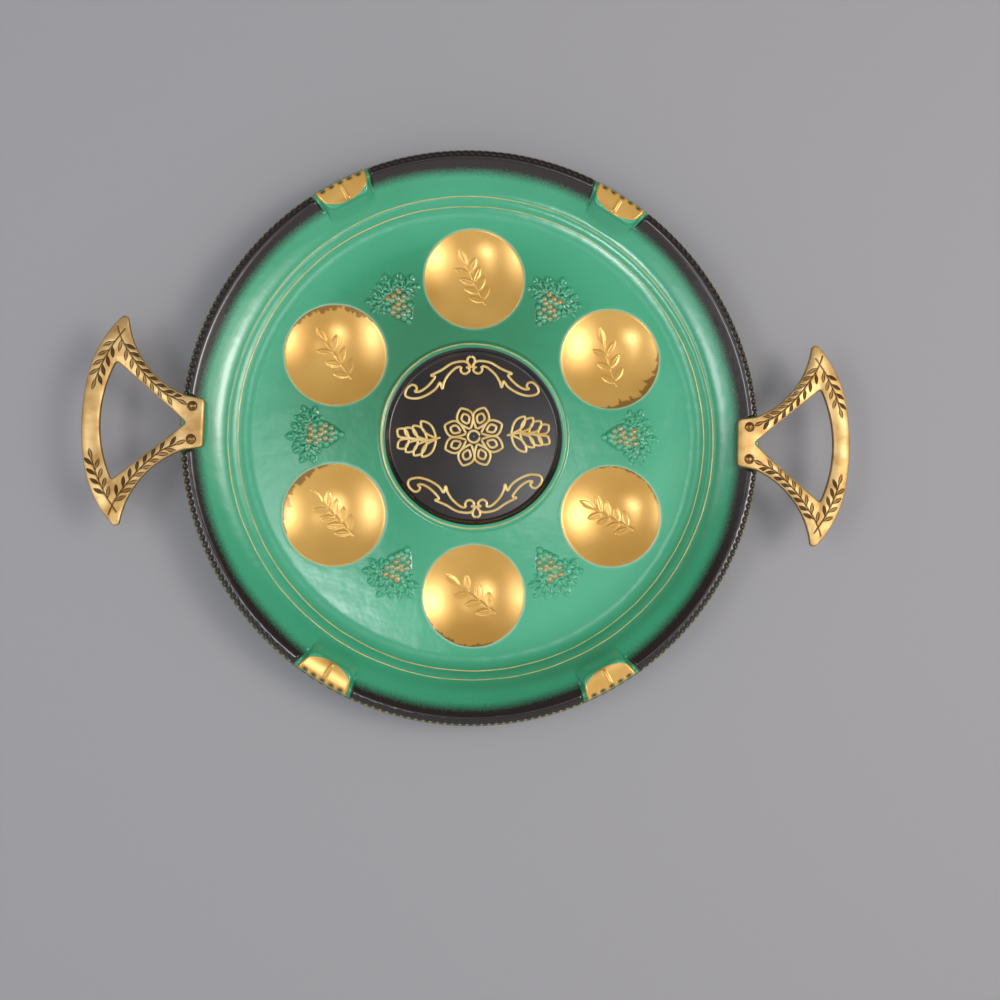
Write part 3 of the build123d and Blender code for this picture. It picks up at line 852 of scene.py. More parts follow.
goldLine = {
    "radii": (134.7, 140.0), "halves": (0.36, 0.33), "columns": 1440, "rows": (-1, -0.6, 0.6, 1),
    "lifts": (-0.03, 0.035, 0.035, -0.03), "leastWorn": 0.15, "mostWorn": 0.9,
}
beadLine = {
    "radius": 53.7, "half": 0.38, "columns": 720, "rows": (-1, -0.6, 0, 0.6, 1),
    "lifts": (-0.03, 0.04, 0.05, 0.04, -0.03),
}


def brushWander(seed):
    # slow drift of a hand-drawn line, a few tenths of a millimetre
    return lambda angle: (0.16 * np.sin(3 * angle + seed) + 0.08 * np.sin(17 * angle + 2 * seed)
                          + 0.04 * np.sin(41 * angle + 3 * seed))


def rubbedLine(seed, least, most):
    # how far the gold of a line has worn through, in long patches with a fine ripple
    def worn(angle):
        patches = 0.5 + 0.5 * np.sin(2 * angle + seed) * np.cos(5 * angle + 2 * seed)
        return np.clip(least + (most - least) * patches + 0.12 * np.sin(61 * angle + seed), 0, 1)
    return worn


def beadWear(angle):
    # the bead's gold is whole on the left and rubbed to the green on the right
    return np.clip(0.45 + 0.5 * np.cos(angle) + 0.1 * np.sin(37 * angle), 0, 1)


for k, (lineRadius, half) in enumerate(zip(goldLine["radii"], goldLine["halves"])):
    ringBand(f"goldLine_{k + 1}", lineRadius + half * np.array(goldLine["rows"]), goldLine["lifts"],
             goldLine["columns"], lineGold, rubbedLine(1.0 + k, goldLine["leastWorn"], goldLine["mostWorn"]),
             brushWander(0.7 + 2 * k))
ringBand("goldLine_bead", beadLine["radius"] + beadLine["half"] * np.array(beadLine["rows"]),
         beadLine["lifts"], beadLine["columns"], lineGold, beadWear, brushWander(1.9))


# Gilded outer edge, broken by the dots, and gilded lug tops

edgeGilding = {
    "columns": 2160, "biteRadius": 163.2, "inner": 163.3, "biteDepth": 0.8, "outer": 164.4,
    # share of the way out over the lip, and the lift there
    "overLip": ((0.0, -0.05), (0.25, 0.05), (0.6, 0.05), (1.0, 0.05)),
    # inset, height and outward lift of the rows down the nose, which follow the lip's dips less and less
    "downNose": ((0.2, 24.95, 0.04), (0.03, 24.4, 0.05), (0.05, 23.8, 0.05), (0.4, 23.35, -0.06)),
    "dipEnd": 23.3, "soot": 0.35, "biteSoot": 0.5, "worn": 0.78,
}
lugGilding = {
    "rows": 44, "columns": 96, "archRadius": 151.0, "archRise": 6.5, "outer": 164.2, "overlap": 0.15,
    "leastHalf": 0.3, "lift": 0.06, "tuck": -0.08, "burntAndDarkReflection": 0.55, "dotSoot": 0.95,
}


def gildedEdge():
    # band from just outside the dots over the nose; each dot bites a notch out of its inner edge
    g = edgeGilding
    angle = roundAngles(g["columns"])
    bite = dotDepth(*polar(g["biteRadius"], angle)) ** 0.5
    inner = g["inner"] + g["biteDepth"] * bite
    rows = []
    for share, lift in g["overLip"]:
        r = inner + share * (g["outer"] - inner)
        rows.append((r, trayHeight(*polar(r, angle)) + lift))
    noseTop = tray["nose"][0][1]
    dip = rows[-1][1] - g["overLip"][-1][1] - noseTop
    for inset, level, lift in g["downNose"]:
        r = np.full(len(angle), plateRadius - inset + lift)
        rows.append((r, level + dip * (level - g["dipEnd"]) / (noseTop - g["dipEnd"])))
    r, z = (np.stack(part) for part in zip(*rows))
    soot = g["soot"] + g["biteSoot"] * bite
    worn = np.clip(g["worn"] + 0.15 * np.sin(7 * angle) + 0.15 * np.sin(31 * angle), 0, 1)
    makePiece("gildedEdge", pointRows(*polar(r, angle), z), gridFaces(len(rows), len(angle), True), gold,
              {"worn": np.tile(worn, (len(rows), 1)), "soot": np.tile(soot, (len(rows), 1))})


def gildedLugs():
    # a film over each lug's top, arched on the inner side: its half-width grows as an ellipse, then with
    # the lug's taper
    g = lugGilding
    share, across = np.meshgrid(np.linspace(0, 1, g["rows"]), np.linspace(-1, 1, g["columns"]), indexing="ij")
    out = g["archRadius"] + share ** 1.5 * (g["outer"] - g["archRadius"])
    arch = np.clip((out - g["archRadius"]) / g["archRise"], 0, 1)
    half = (padHalfWidth(lug, out)[0] + g["overlap"]) * np.sqrt(1 - (1 - arch) ** 2)
    side = across * np.maximum(half, g["leastHalf"])
    out = out - share ** 3 * (g["outer"] - np.sqrt(g["outer"] ** 2 - side ** 2))
    border = (np.abs(across) > 0.999) | (share < 0.001) | (share > 0.999)
    for k, angle in enumerate(lug["angles"]):
        x, y = turned(out, side, angle)
        z = trayHeight(x, y) + np.where(border, g["tuck"], g["lift"])
        burntAndDarkReflection = g["burntAndDarkReflection"] * smoothStep(0.55, 0.0, share) * (0.6 + 0.4 * np.sin(3 * across + k))
        makePiece(f"gildedLug_{k + 1}", pointRows(x, y, z), gridFaces(g["rows"], g["columns"], False), gold,
                  {"soot": g["dotSoot"] * dotDepth(x, y) ** 0.7, "burntAndDarkReflection": burntAndDarkReflection})


gildedEdge()
gildedLugs()
print("gilding made")


# Bunches of grapes in relief between the wells

vine = {
    "angles": [well["turn"] - 30 + 60 * k for k in range(6)], "tipRadius": 76.0, "rowStep": 3.05,
    "grapeStep": 3.5, "grapeRadius": 2.0, "grapeHeight": 1.15, "rowCounts": (1, 2, 3, 4, 5, 4, 3),
    # the domed body under the grapes: its half-width by distance out, and where it starts and ends
    "mound": 1.1, "moundOut": (74, 78, 84, 91, 98, 100), "moundHalf": (0.6, 4.0, 8.0, 9.2, 5.0, 1.0),
    "moundStart": (74, 80), "moundEnd": (92, 99), "dabFromRow": 2, "dabHalf": 5.5,
    # each leaf: its stalk end (outwards, across), the way it points, its length
    "leaves": [((93.5, -6.5), -64.0, 12.5), ((96.0, 0.5), 4.0, 13.5), ((94.0, 6.5), 62.0, 12.5)],
    # lobes of a leaf: lean, length and width as shares of the leaf
    "lobes": [(0.0, 1.0, 0.6), (42.0, 0.92, 0.56), (-42.0, 0.92, 0.56), (86.0, 0.7, 0.5), (-86.0, 0.7, 0.5)],
    "leafHeight": 1.7, "stalkHeight": 0.9, "stalkHalf": 0.6, "stalkOut": (95, 101),
    "cellMm": 0.28, "outRange": (72.5, 114.5), "acrossRange": (-19.0, 19.0), "sink": 0.05,
    "leastHeight": 0.012,
}


def grapeBunch(out, across):
    # grapes as domes in rows on a domed body, and the copper-gold dabbed on the middle ones
    v = vine
    width = np.interp(out, v["moundOut"], v["moundHalf"])
    body = v["mound"] * np.clip(1 - (across / width) ** 2, 0, 1) * smoothStep(*v["moundStart"], out)
    body = body * (1 - smoothStep(*v["moundEnd"], out))
    grapes, gilt = np.zeros(out.shape), np.zeros(out.shape)
    for row, number in enumerate(v["rowCounts"]):
        for k in range(number):
            grapeOut = v["tipRadius"] + row * v["rowStep"] + 0.6 * math.sin(5 * k + 3 * row)
            grapeAcross = (k - (number - 1) / 2) * v["grapeStep"] + 0.5 * math.sin(7 * k + 2 * row)
            size = v["grapeRadius"] * (1 - 0.12 * math.sin(4 * k + row) ** 2)
            d2 = ((out - grapeOut) ** 2 + (across - grapeAcross) ** 2) / size ** 2
            grapes = np.maximum(grapes, v["grapeHeight"] * np.clip(1 - d2, 0, 1) ** 0.8)
            if row >= v["dabFromRow"] and abs(grapeAcross) < v["dabHalf"]:
                dab = 0.3 + 0.7 * math.sin(3 * k + 5 * row) ** 2
                gilt = np.maximum(gilt, np.clip(1.25 - 1.5 * d2, 0, 1) * dab)
    return body + grapes, gilt


def leafLobe(a, b, length, spread, lean):
    # one toothed lobe lying along a, which rises to a midrib and has slanting folds
    run = np.clip((a + 1.0) / length, 0, 1)
    teeth = 1 - 0.22 * np.abs(np.sin(1.3 * a + 0.5 * np.sign(b)))
    half = spread / 2 * np.sin(np.pi * run ** 1.3) ** 0.65 * teeth
    side = np.clip(np.abs(b) / np.maximum(half, 1e-6), 0, 1)
    fold = 0.35 * np.sin(1.5 * (a - 0.9 * np.abs(b)) + lean) * (1 - side)
    rise = (1 - side ** 2) * (0.25 + 0.75 * (1 - side) + fold) * (0.35 + 0.65 * np.sin(np.pi * run))
    return rise * (run > 0) * (run < 1)


def vineRelief(out, across):
    # height of a bunch with its leaves and two stalks, and the dabs on its grapes
    v = vine
    relief, gilt = grapeBunch(out, across)
    for (stalkOut, stalkAcross), points, length in v["leaves"]:
        for lean, reach, spread in v["lobes"]:
            a, b = turned(out - stalkOut, across - stalkAcross, -(points + lean))
            lobe = leafLobe(a, b, length * reach, length * spread, lean)
            relief = np.maximum(relief, v["leafHeight"] * lobe)
    start, end = v["stalkOut"]
    for bow in (-1, 1):
        onStalk = np.abs(across - bow * (2.0 + 7 * np.sin((out - start) / 9))) < v["stalkHalf"]
        relief = np.maximum(relief, v["stalkHeight"] * onStalk * (out > start) * (out < end))
    return relief, gilt


def neighbours(grid, axis):
    # the sum of the cells before and after each cell
    return np.roll(grid, 1, axis) + np.roll(grid, -1, axis)


def vineReliefs():
    # a fine grid over each bunch; only cells where something stands above the floor are kept
    v = vine
    sides = [np.arange(*v[label], v["cellMm"]) for label in ("outRange", "acrossRange")]
    o, a = np.meshgrid(*sides, indexing="ij")
    faces = gridFaces(*o.shape, False)
    for k, angle in enumerate(v["angles"]):
        relief, gilt = vineRelief(o, a if k % 2 else -a)
        for axis in (0, 1):
            relief = (neighbours(relief, axis) + 2 * relief) / 4
        x, y = turned(o, a, angle)
        z = trayHeight(x, y) - v["sink"] + relief
        curve = neighbours(relief, 0) + neighbours(relief, 1) - 4 * relief
        deeper = 0.1 + 2.0 * curve * smoothStep(0.05, 0.5, relief) - 0.12 * relief
        poolingAndPaintedLight = glazeMasks(x, y, z)["poolingAndPaintedLight"] + deeper
        kept = faces[relief.ravel()[faces].max(1) > v["leastHeight"]]
        used, index = np.unique(kept, return_inverse=True)
        masks = {"poolingAndPaintedLight": np.clip(poolingAndPaintedLight, 0.05, 0.9).ravel()[used], "gilt": gilt.ravel()[used]}
        makePiece(f"grapeRelief_{k + 1}", pointRows(x, y, z)[used], index.reshape(-1, 4), green, masks)


vineReliefs()
print("grape reliefs made")


# Gold line work on the medallion

strokeWork = {"turn": 3.6, "height": 0.6, "level": 11.5, "sink": 0.08, "scrollHalf": 0.8, "rosetteHalf": 0.75}
# one quarter of the curled scrolls, mirrored to the other three
scrollStrokes = [
    [(0.4, 40.6), (2.0, 43.2), (5.0, 44.2), (11.2, 43.1), (17.5, 39.3), (24.2, 36.2)],
    [(24.2, 36.2), (21.4, 35.3), (25.6, 30.2), (30.2, 27.2), (33.8, 26.9)],
    [(33.8, 26.9), (32.1, 28.6), (33.0, 30.6), (35.4, 30.9), (38.0, 28.6), (38.9, 25.6), (37.2, 23.7),
     (32.3, 23.1), (26.8, 24.8), (21.4, 28.3), (18.4, 32.6)],
    [(18.4, 32.6), (17.3, 28.4), (16.2, 32.0), (13.7, 36.2), (9.2, 40.3), (5.8, 41.2)],
    [(5.8, 41.2), (6.3, 39.0), (5.2, 37.3), (3.4, 36.9), (1.6, 38.0), (1.2, 39.4), (2.0, 40.6), (3.2, 40.2)],
    [(0.0, 40.2), (1.5, 42.4), (2.2, 44.6), (1.6, 46.3), (0.0, 47.0)],
]
rosette = {
    "ring": 3.4, "petals": 8, "inner": 4.6, "outer": 18.0, "width": 9.4,
    "liningIn": 3.4, "liningOut": 3.6, "liningNarrower": 4.8,
    "stem": [(19.0, 0.0), (26.0, 1.4), (33.0, 0.8), (44.5, -1.2)], "stemPoints": 60,
    "leaves": 4, "leafFirst": 6, "leafStep": 12, "leafStart": 0.4, "leafLength": 13.5, "leafShorter": 1.6,
    "leafWidth": 5.4, "leafLean": 50, "leanLess": 4,
}


def roundStroke(path, half):
    # half-round bead carried along a path, tapering to nothing at both ends
    step = np.gradient(path, axis=0)
    step = step / np.maximum(np.hypot(*step.T), 1e-9)[:, None]
    across = np.stack([step[:, 1], -step[:, 0]], 1)
    run = np.linspace(0, 1, len(path))
    taper = np.clip(np.minimum(run, 1 - run) * len(path) / 3.0, 0.02, 1)[:, None] ** 0.5
    bow = np.linspace(0, np.pi, 7)
    sideways = half * taper * np.cos(bow)
    up = strokeWork["height"] * taper * np.sin(bow) - strokeWork["sink"]
    xy = path[:, None, :] + sideways[..., None] * across[:, None, :]
    return np.concatenate([xy, (strokeWork["level"] + up)[..., None]], -1)


def strokesPiece(name, paths, half):
    # many strokes in one mesh, turned together about the plate's centre
    blocks, faces, count = [], [], 0
    for path in paths:
        grid = roundStroke(path, half)
        grid[..., 0], grid[..., 1] = turned(grid[..., 0], grid[..., 1], strokeWork["turn"])
        faces += (gridFaces(*grid.shape[:2], False) + count).tolist()
        blocks.append(grid.reshape(-1, 3))
        count += len(blocks[-1])
    return makePiece(name, np.concatenate(blocks), faces, lineGold)


def scrollPaths():
    # every stroke in all four quarters
    quarters = [(flipX, flipY) for flipX in (1, -1) for flipY in (1, -1)]
    return [smoothPath(stroke, 14 * len(stroke)) * flips for stroke in scrollStrokes for flips in quarters]


def petalPath(inner, outer, width, angle, count=46):
    # closed outline of a pointed petal lying along one direction
    run = np.concatenate([np.linspace(0, 1, count), np.linspace(1, 0, count)[1:]])
    sign = np.concatenate([np.ones(count), -np.ones(count - 1)])
    half = width / 2 * np.sin(np.pi * run ** 1.25) ** 0.8
    return np.stack(turned(inner + (outer - inner) * run, sign * half, angle), 1)


def rosettePaths():
    # double-lined petals round a ring, and a curved spray of leaves on each side
    s = rosette
    paths = [np.stack(polar(s["ring"], np.linspace(0, 2 * np.pi, 60)), 1)]
    for k in range(s["petals"]):
        angle = (k + 0.5) * 360 / s["petals"]
        paths.append(petalPath(s["inner"], s["outer"], s["width"], angle))
        paths.append(petalPath(s["inner"] + s["liningIn"], s["outer"] - s["liningOut"],
                               s["width"] - s["liningNarrower"], angle))
    stem = smoothPath(s["stem"], s["stemPoints"])
    spray = [stem]
    for k in range(s["leaves"]):
        length = s["leafLength"] - s["leafShorter"] * k
        for side in (1, -1):
            lean = side * (s["leafLean"] - s["leanLess"] * k)
            leaf = petalPath(s["leafStart"], length, s["leafWidth"], lean)
            spray.append(leaf + stem[s["leafFirst"] + s["leafStep"] * k])
    return paths + [np.stack(turned(*path.T, angle), 1) for angle in (0, 180) for path in spray]


strokesPiece("goldScrolls", scrollPaths(), strokeWork["scrollHalf"])
strokesPiece("goldRosette", rosettePaths(), strokeWork["rosetteHalf"])
print("medallion line work made")


# Handles: an engraved brass casting, worked out between its outer outline and its finger gap

handleLow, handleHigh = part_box("handle_right")
handle = {
    "bottom": handleLow.z / mm, "top": handleHigh.z / mm,
    "root": handleLow.x / mm, "rootHalf": 13.4, "rootBend": 2.2, "rootFlare": 0.44, "rootBevel": 2.2,
    "flare": (162.0, 15.3), "flareAngle": 21.0,
    "tip": (197.2, handleHigh.y / mm), "tipHalf": 2.3, "tipRound": 2.0, "tipMeets": 0.7,
    "bar": handleHigh.x / mm, "barChord": 48.0, "barSagitta": 2.1,
    "gapApex": 161.0, "gapCorner": (200.6, 33.2), "gapBend": 2.2, "gapBar": handleHigh.x / mm - 9.9,
    "gapRound": 1.5, "gapNeck": 6.0, "edge": 0.9, "crown": 1.1, "crownStart": (162, 172), "crownPower": 2.2,
    # points along the root, the arm, the tip and the bar, and across the top face
    "counts": (90, 210, 26, 220), "topRows": 54,
}
branch = {
    "leafLength": 6.4, "leafWidth": 2.2, "leafPitch": 5.7, "leafLean": 37.0, "leafFirst": 7.0, "leafOff": 0.7,
    "linkLength": 1.2, "cutDepth": 0.32, "stemHalf": 0.36,
    # the arm's stem runs from the tip down the middle of the arm, the bar's from the tip along the bar
    "armTip": [(200.9, 52.6), (199.0, 47.5), (196.4, 42.2)], "armSkip": (40, 44), "armStep": 24,
    "armEnd": (167.0, 12.9), "armPoints": 50,
    "bar": [(196.6, 51.0), (199.0, 47.5), (203.0, 41.5), (206.4, 34.8), (209.2, 28.4), (210.9, 23.0)],
    "barPoints": 40, "rivetRing": 2.5, "rivetRingHalf": 0.32,
}


def outerOutline():
    # the handle's outer side from the root's middle to the bar's: root, arm, tip, then shoulder and bar
    h = handle
    tipX, tipY = h["tip"]
    bend = h["rootBend"]
    rootBend = bendThrough((h["root"], h["rootHalf"] - bend), (h["root"], h["rootHalf"]),
                           (h["root"] + bend, h["rootHalf"] + h["rootFlare"]), 20)
    root = np.concatenate([[[h["root"], 0.0]], rootBend, [h["flare"]]])
    armEnd = (tipX - h["tipHalf"], tipY - h["tipRound"])
    arm = tangentArc(h["flare"], math.radians(h["flareAngle"]), armEnd, 200)
    tipTurn = np.linspace(math.pi, h["tipMeets"], 40)
    tip = np.stack([tipX + h["tipHalf"] * np.cos(tipTurn), tipY + h["tipRound"] * (np.sin(tipTurn) - 1)], 1)
    barRadius = (h["barChord"] ** 2 / 4 + h["barSagitta"] ** 2) / 2 / h["barSagitta"]
    barTurn = math.atan2(h["barChord"] / 2, barRadius - h["barSagitta"])
    bar = bowedArc(h["bar"], barRadius, np.linspace(0, barTurn, 120))
    shoulder = tangentArc(bar[-1], math.pi / 2 + barTurn, tip[-1], 100)
    return [root, arm, tip, np.concatenate([bar, shoulder[1:]])[::-1]]


def gapOutline():
    # the finger gap's side, in four runs that face those of the outer outline
    h = handle
    cornerX, cornerY = h["gapCorner"]
    legAngle = math.atan2(cornerY, cornerX - h["gapApex"])
    ray = np.array([math.cos(legAngle), math.sin(legAngle)])
    apexCentre = h["gapApex"] + h["gapRound"] / math.sin(legAngle)
    apexTurn = np.linspace(math.pi, math.pi / 2 + legAngle, 30)
    apex = np.stack([apexCentre + h["gapRound"] * np.cos(apexTurn), h["gapRound"] * np.sin(apexTurn)], 1)
    legStart = np.array([h["gapApex"], 0.0]) + h["gapNeck"] * ray
    legEnd = np.array(h["gapCorner"]) - h["gapBend"] * ray
    gapRadius = (cornerY ** 2 + (h["gapBar"] - cornerX) ** 2) / 2 / (h["gapBar"] - cornerX)
    gapTurn = math.asin((cornerY - h["gapBend"]) / gapRadius)
    gapBar = bowedArc(h["gapBar"], gapRadius, np.linspace(gapTurn, 0, 160))
    corner = bendThrough(legEnd, h["gapCorner"], gapBar[0], 30)
    return [np.concatenate([apex, [legStart]]), np.stack([legStart, legEnd]), corner, gapBar]


def evenOutline(parts):
    # the four runs of an outline as one path, each with its own count of points
    runs = [evenly(part, n + 1)[:-1] for part, n in zip(parts, handle["counts"])]
    return np.concatenate(runs + [parts[-1][-1:]])


def branchStems(middle):
    # the engraved stems of one handle, from the middle line of its upper half
    g = branch
    armStart = handle["counts"][0]
    armStop = armStart + handle["counts"][1]
    armMiddle = middle[armStop - g["armSkip"][0]:armStart + g["armSkip"][1]:-g["armStep"]]
    arm = smoothPath([*g["armTip"], *armMiddle, g["armEnd"]], g["armPoints"])
    bar = smoothPath(g["bar"], g["barPoints"])
    return [arm, arm * (1, -1), bar, bar * (1, -1)]


def engraving(x, y, stems):
    # engraved branches: pointed leaves on both sides of each stem, leaning on towards its far end;
    # gives the depth of cut and how much dark patina sits there
    g = branch
    depth, dark = np.zeros(x.shape), np.zeros(x.shape)
    for stem in stems:
        line = np.full(x.shape, clear)
        for a, b in zip(stem[:-1], stem[1:]):
            run = b - a
            t = np.clip(((x - a[0]) * run[0] + (y - a[1]) * run[1]) / (run @ run), 0, 1)
            line = np.minimum(line, np.hypot(x - a[0] - t * run[0], y - a[1] - t * run[1]))
        cut = np.exp(-(line / g["stemHalf"]) ** 2)
        depth, dark = np.maximum(depth, cut), np.maximum(dark, 0.85 * cut)
        length = np.concatenate([[0], np.cumsum(np.hypot(*np.diff(stem, axis=0).T))])
        steps = np.arange(length[-1], g["leafFirst"], -g["leafPitch"] / 2)[::-1]
        for k, s in enumerate(steps):
            foot, ahead, behind = (np.array([np.interp(s + shift, length, side) for side in stem.T])
                                   for shift in (0, 0.5, -0.5))
            heading = math.degrees(math.atan2(*(ahead - behind)[::-1]))
            lean = 0 if k == len(steps) - 1 else g["leafLean"] * (1 if k % 2 else -1)
            a, b = turned(x - foot[0], y - foot[1], -(heading + lean))
            leaf = almond(a - g["leafOff"], b, g["leafLength"], g["leafWidth"])
            outline = np.clip(2.0 - np.abs(leaf - 0.34) / 0.22, 0, 1) * (leaf > 0)
            fill = (0.8 if k % 2 else 0.45) * smoothStep(0.1, 0.5, leaf)
            link = np.exp(-(b / g["stemHalf"]) ** 2) * (a > 0) * (a < g["linkLength"])
            depth = np.maximum(depth, np.maximum(np.maximum(outline, link), 0.6 * (leaf > 0.2)))
            dark = np.maximum(dark, np.maximum(0.95 * np.maximum(outline, link), fill))
    return depth, dark


def castingRows(width, onRoot):
    # distance from the gap's edge and height of each row: up the inner wall, over the top, down the outer
    # wall and back underneath
    h = handle
    flat = np.zeros(len(width))
    rise = h["top"] - h["bottom"]
    bevel = h["edge"] + (h["rootBevel"] - h["edge"]) * onRoot
    wall = flat + 0.5 * (rise - h["edge"])
    quarter = np.linspace(0, np.pi / 2, 6)
    rows = [(flat, flat), (flat, wall)]
    rows += [(flat + h["edge"] * (1 - np.cos(q)), flat + rise - h["edge"] * (1 - np.sin(q))) for q in quarter]
    first = len(rows)
    rows += [(h["edge"] + s * (width - h["edge"] - bevel), flat + rise)
             for s in np.linspace(0, 1, h["topRows"])[1:-1]]
    topRows = slice(first, len(rows))
    rows += [(width - bevel * (1 - np.sin(q)), rise - h["edge"] * (1 - np.cos(q)) * (1 + 0.5 * onRoot))
             for q in quarter]
    rows += [(width, wall), (width, flat), (0.5 * width, flat)]
    away, lift = (np.stack(part) for part in zip(*rows))
    return away, lift, topRows


def handleCasting(name, node, angle):
    # rows run across from the gap's edge to the outer edge and back underneath, columns run round the gap
    h = handle
    outerHalf, innerHalf = evenOutline(outerOutline()), evenOutline(gapOutline())
    outer, inner = (np.concatenate([half, half[-2:0:-1] * (1, -1)]) for half in (outerHalf, innerHalf))
    width = np.hypot(*(outer - inner).T)
    onRoot = np.exp(-((outer[:, 0] - h["root"]) / 0.8) ** 2) * (np.abs(outer[:, 1]) < 20)
    away, lift, topRows = castingRows(width, onRoot)
    xy = inner + away[..., None] * (outer - inner) / width[:, None]
    rise = h["top"] - h["bottom"]
    crown = h["crown"] * (0.25 + 0.75 * smoothStep(*h["crownStart"], xy[..., 0]))
    lift = lift - crown * np.abs(2 * away / width - 1) ** h["crownPower"] * lift / rise
    depth, dark = np.zeros(away.shape), np.zeros(away.shape)
    stems = branchStems((outerHalf + innerHalf) / 2)
    depth[topRows], dark[topRows] = engraving(xy[topRows, :, 0], xy[topRows, :, 1], stems)
    for side in (-1, 1):
        ring = np.hypot(xy[..., 0] - seat["rivetRadius"], xy[..., 1] - side * seat["rivetSpacing"] / 2)
        groove = np.exp(-((ring - branch["rivetRing"]) / branch["rivetRingHalf"]) ** 2) * (lift > rise - 0.5)
        depth, dark = np.maximum(depth, 0.8 * groove), np.maximum(dark, 0.9 * groove)
    x, y = turned(xy[..., 0], xy[..., 1], angle)
    z = h["bottom"] + lift - branch["cutDepth"] * depth
    # painted shade: the side walls and underside are darkened with the patina colour
    sideShade = 0.45 * smoothStep(1.2, 2.6, rise - lift)
    faces = gridFaces(len(away) + 1, len(width), True) % away.size
    makePiece(name, pointRows(x, y, z), faces, brass, {"patinaAndSideShade": np.maximum(dark, sideShade)}, node)


handleCasting("handleCasting_right", "handle_right", 0.0)
handleCasting("handleCasting_left", "handle_left", 180.0)
print("handles made")


# Small fittings keep their CAD shapes and get their finishes
fibre = fittingMaterial("VulcanisedFibre")
fittingFinishes = {
    "rivet_burr_": fittingMaterial("StampedBrassBurr"), "rivet_": fittingMaterial("RubbedCopperRivet"),
    "fibre_washer_": fibre, "gasket_": fibre,
}
for nodeName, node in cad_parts.items():
    finish = next((m for prefix, m in fittingFinishes.items() if nodeName.startswith(prefix)), None)
    if finish:
        node.data.materials.clear()
        node.data.materials.append(finish)
print("fittings finished")


# Floor, lights and camera

studioFloor = {"colour": "#a8a7aa", "reach": 3.0, "roughness": 0.9, "sheen": 0.1}
# polar angle and azimuth in degrees, distance, size towards the horizon and along it in metres, radiance
# at the middle, and colour
lamps = {
    "windowLight": (38.0, 2.0, 1.6, (1.3, 1.35), 9.2, "#fffaf2"),
    "farLight": (35.0, 188.0, 1.6, (0.9, 1.5), 5.5, "#f6faff"),
    "ceilingLight": (10.5, 229.0, 2.0, (0.6, 0.7), 9.0, "#f6faff"),
    "ceilingStrip": (9.0, 174.0, 2.0, (0.5, 1.1), 2.3, "#f6faff"),
    "wallBounce": (8.7, 25.0, 2.0, (0.55, 0.6), 2.0, "#f6faff"),
}
# size and share of radiance of each lamp's layers, so that it fades towards its rim
lampLayers = ((1.0, 0.05), (0.8, 0.09), (0.6, 0.17), (0.42, 0.29), (0.26, 0.4))
layerGap = 0.004
# place from the front of the room (0) to its back (1) and brightness there, then height and its share
room = {
    "colour": "#fbfaff",
    "along": ((0.0, 0.62), (1.0, 0.22), (0.25, 0.54), (0.5, 0.56), (0.6, 0.5), (0.75, 0.2)),
    "upward": ((0.0, 0.75), (1.0, 0.78), (0.6, 1.1)),
}
# lens and sensor in millimetres, place in millimetres, tilts and turn in degrees
photoCamera = {
    "lens": 43.2, "sensor": 36.0, "place": (-41.7, -80.8, 703.6), "tiltX": 3.62, "tiltY": -4.71, "turn": 1.55,
}


def addToScene(name, data):
    # an object for some mesh, lamp or camera data
    thing = bpy.data.objects.new(name, data)
    bpy.context.scene.collection.objects.link(thing)
    return thing


def turnAbout(axis, degrees):
    return Matrix.Rotation(math.radians(degrees), 4, axis)


def floorPiece():
    # a wide plain sheet under the foot ring
    material, tree, shader, _ = startMaterial("PalePaperFloor")
    finishShader(tree, shader, Base_Color=hexColour(studioFloor["colour"]),
                 Roughness=studioFloor["roughness"], Specular_IOR_Level=studioFloor["sheen"])
    reach = studioFloor["reach"]
    corners = [(-reach, -reach, 0), (reach, -reach, 0), (reach, reach, 0), (-reach, reach, 0)]
    mesh = bpy.data.meshes.new("studioFloor")
    mesh.from_pydata(corners, [], [(0, 1, 2, 3)])
    mesh.materials.append(material)
    addToScene("studioFloor", mesh)


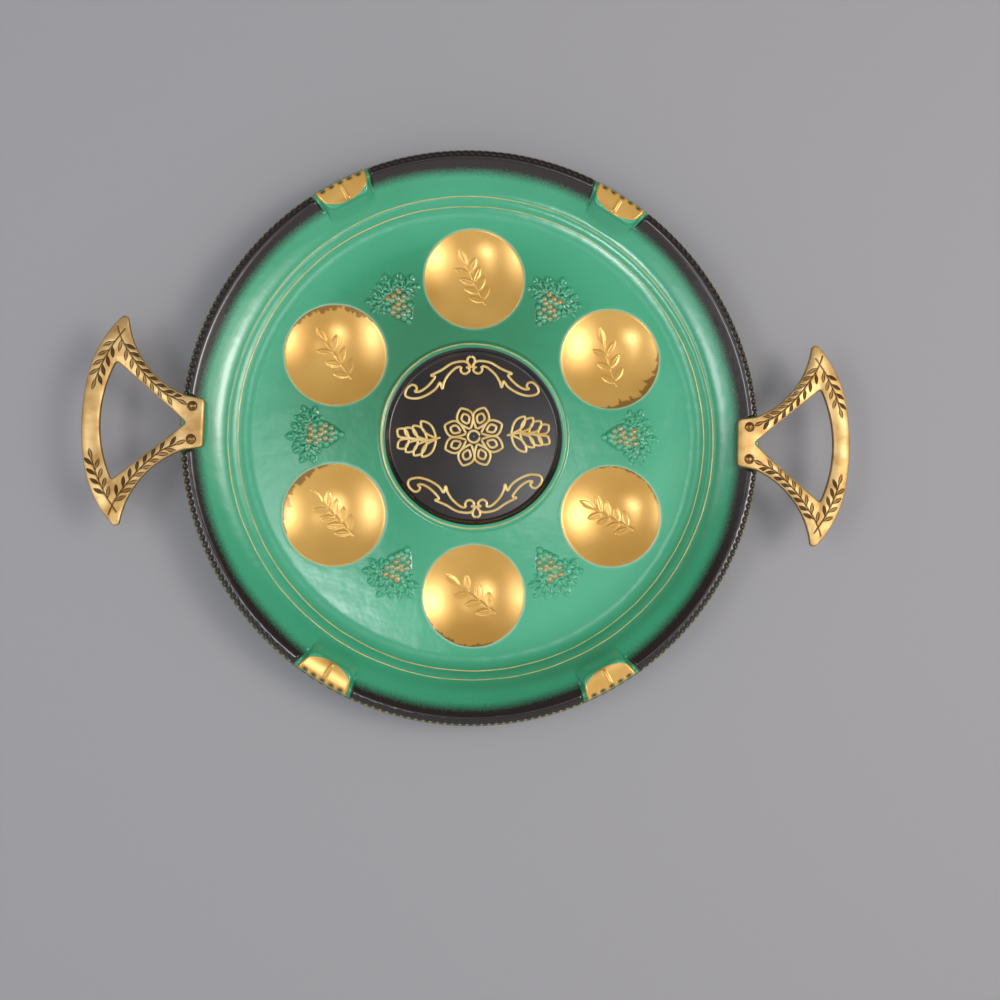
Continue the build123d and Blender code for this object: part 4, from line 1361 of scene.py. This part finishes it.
def studioLamps():
    # a soft window to the right, a weaker one to the left and dim light overhead
    for name, (polarAngle, azimuth, distance, (rise, spread), radiance, colour) in lamps.items():
        turn = turnAbout("Z", azimuth) @ turnAbout("Y", polarAngle)
        for layer, (share, glow) in enumerate(lampLayers):
            data = bpy.data.lights.new(f"{name}_{layer + 1}", "AREA")
            data.shape, data.size, data.size_y = "ELLIPSE", share * rise, share * spread
            data.energy = glow * radiance * math.pi * math.pi / 4 * data.size * data.size_y
            data.color = hexColour(colour)[:3]
            lamp = addToScene(data.name, data)
            lamp.matrix_world = turn @ Matrix.Translation((0, 0, distance - layerGap * layer))


def studioRoom():
    # a plain room, brighter in front than behind and brightest between the horizon and overhead
    world = bpy.data.worlds.new("studioRoom")
    world.use_nodes = True
    tree = world.node_tree
    way = addNode(tree, "SeparateXYZ", {0: addNode(tree, "TexCoord").outputs["Generated"]})
    along = addNode(tree, "MapRange", {"Value": way.outputs["Y"], "From Min": -1.0, "From Max": 1.0})
    tint = hexColour(room["colour"])
    level = addNode(tree, "ValToRGB", {"Fac": along.outputs[0]},
                    [(place, (*[c * share for c in tint[:3]], 1.0)) for place, share in room["along"]])
    height = addNode(tree, "ValToRGB", {"Fac": way.outputs["Z"]},
                     [(place, (share, share, share, 1.0)) for place, share in room["upward"]])
    both = addNode(tree, "Mix", {0: 1.0, 6: level.outputs["Color"], 7: height.outputs["Color"]},
                   data_type="RGBA", blend_type="MULTIPLY")
    tree.links.new(both.outputs[2], tree.nodes["Background"].inputs["Color"])
    bpy.context.scene.world = world


def cameraFromPhoto():
    # nearly straight down, tilted a few degrees, turned so that the handles lie on X
    p = photoCamera
    data = bpy.data.cameras.new("photoCamera")
    data.lens, data.sensor_width = p["lens"], p["sensor"]
    data.clip_start, data.clip_end = 0.05, 20.0
    camera = addToScene("photoCamera", data)
    place = Matrix.Translation([c * mm for c in p["place"]])
    tilt = turnAbout("Y", p["tiltY"]) @ turnAbout("X", p["tiltX"])
    camera.matrix_world = turnAbout("Z", p["turn"]) @ place @ tilt
    bpy.context.scene.camera = camera


floorPiece()
studioLamps()
studioRoom()
cameraFromPhoto()
bpy.context.scene.view_settings.view_transform = "Standard"
print("stage set")
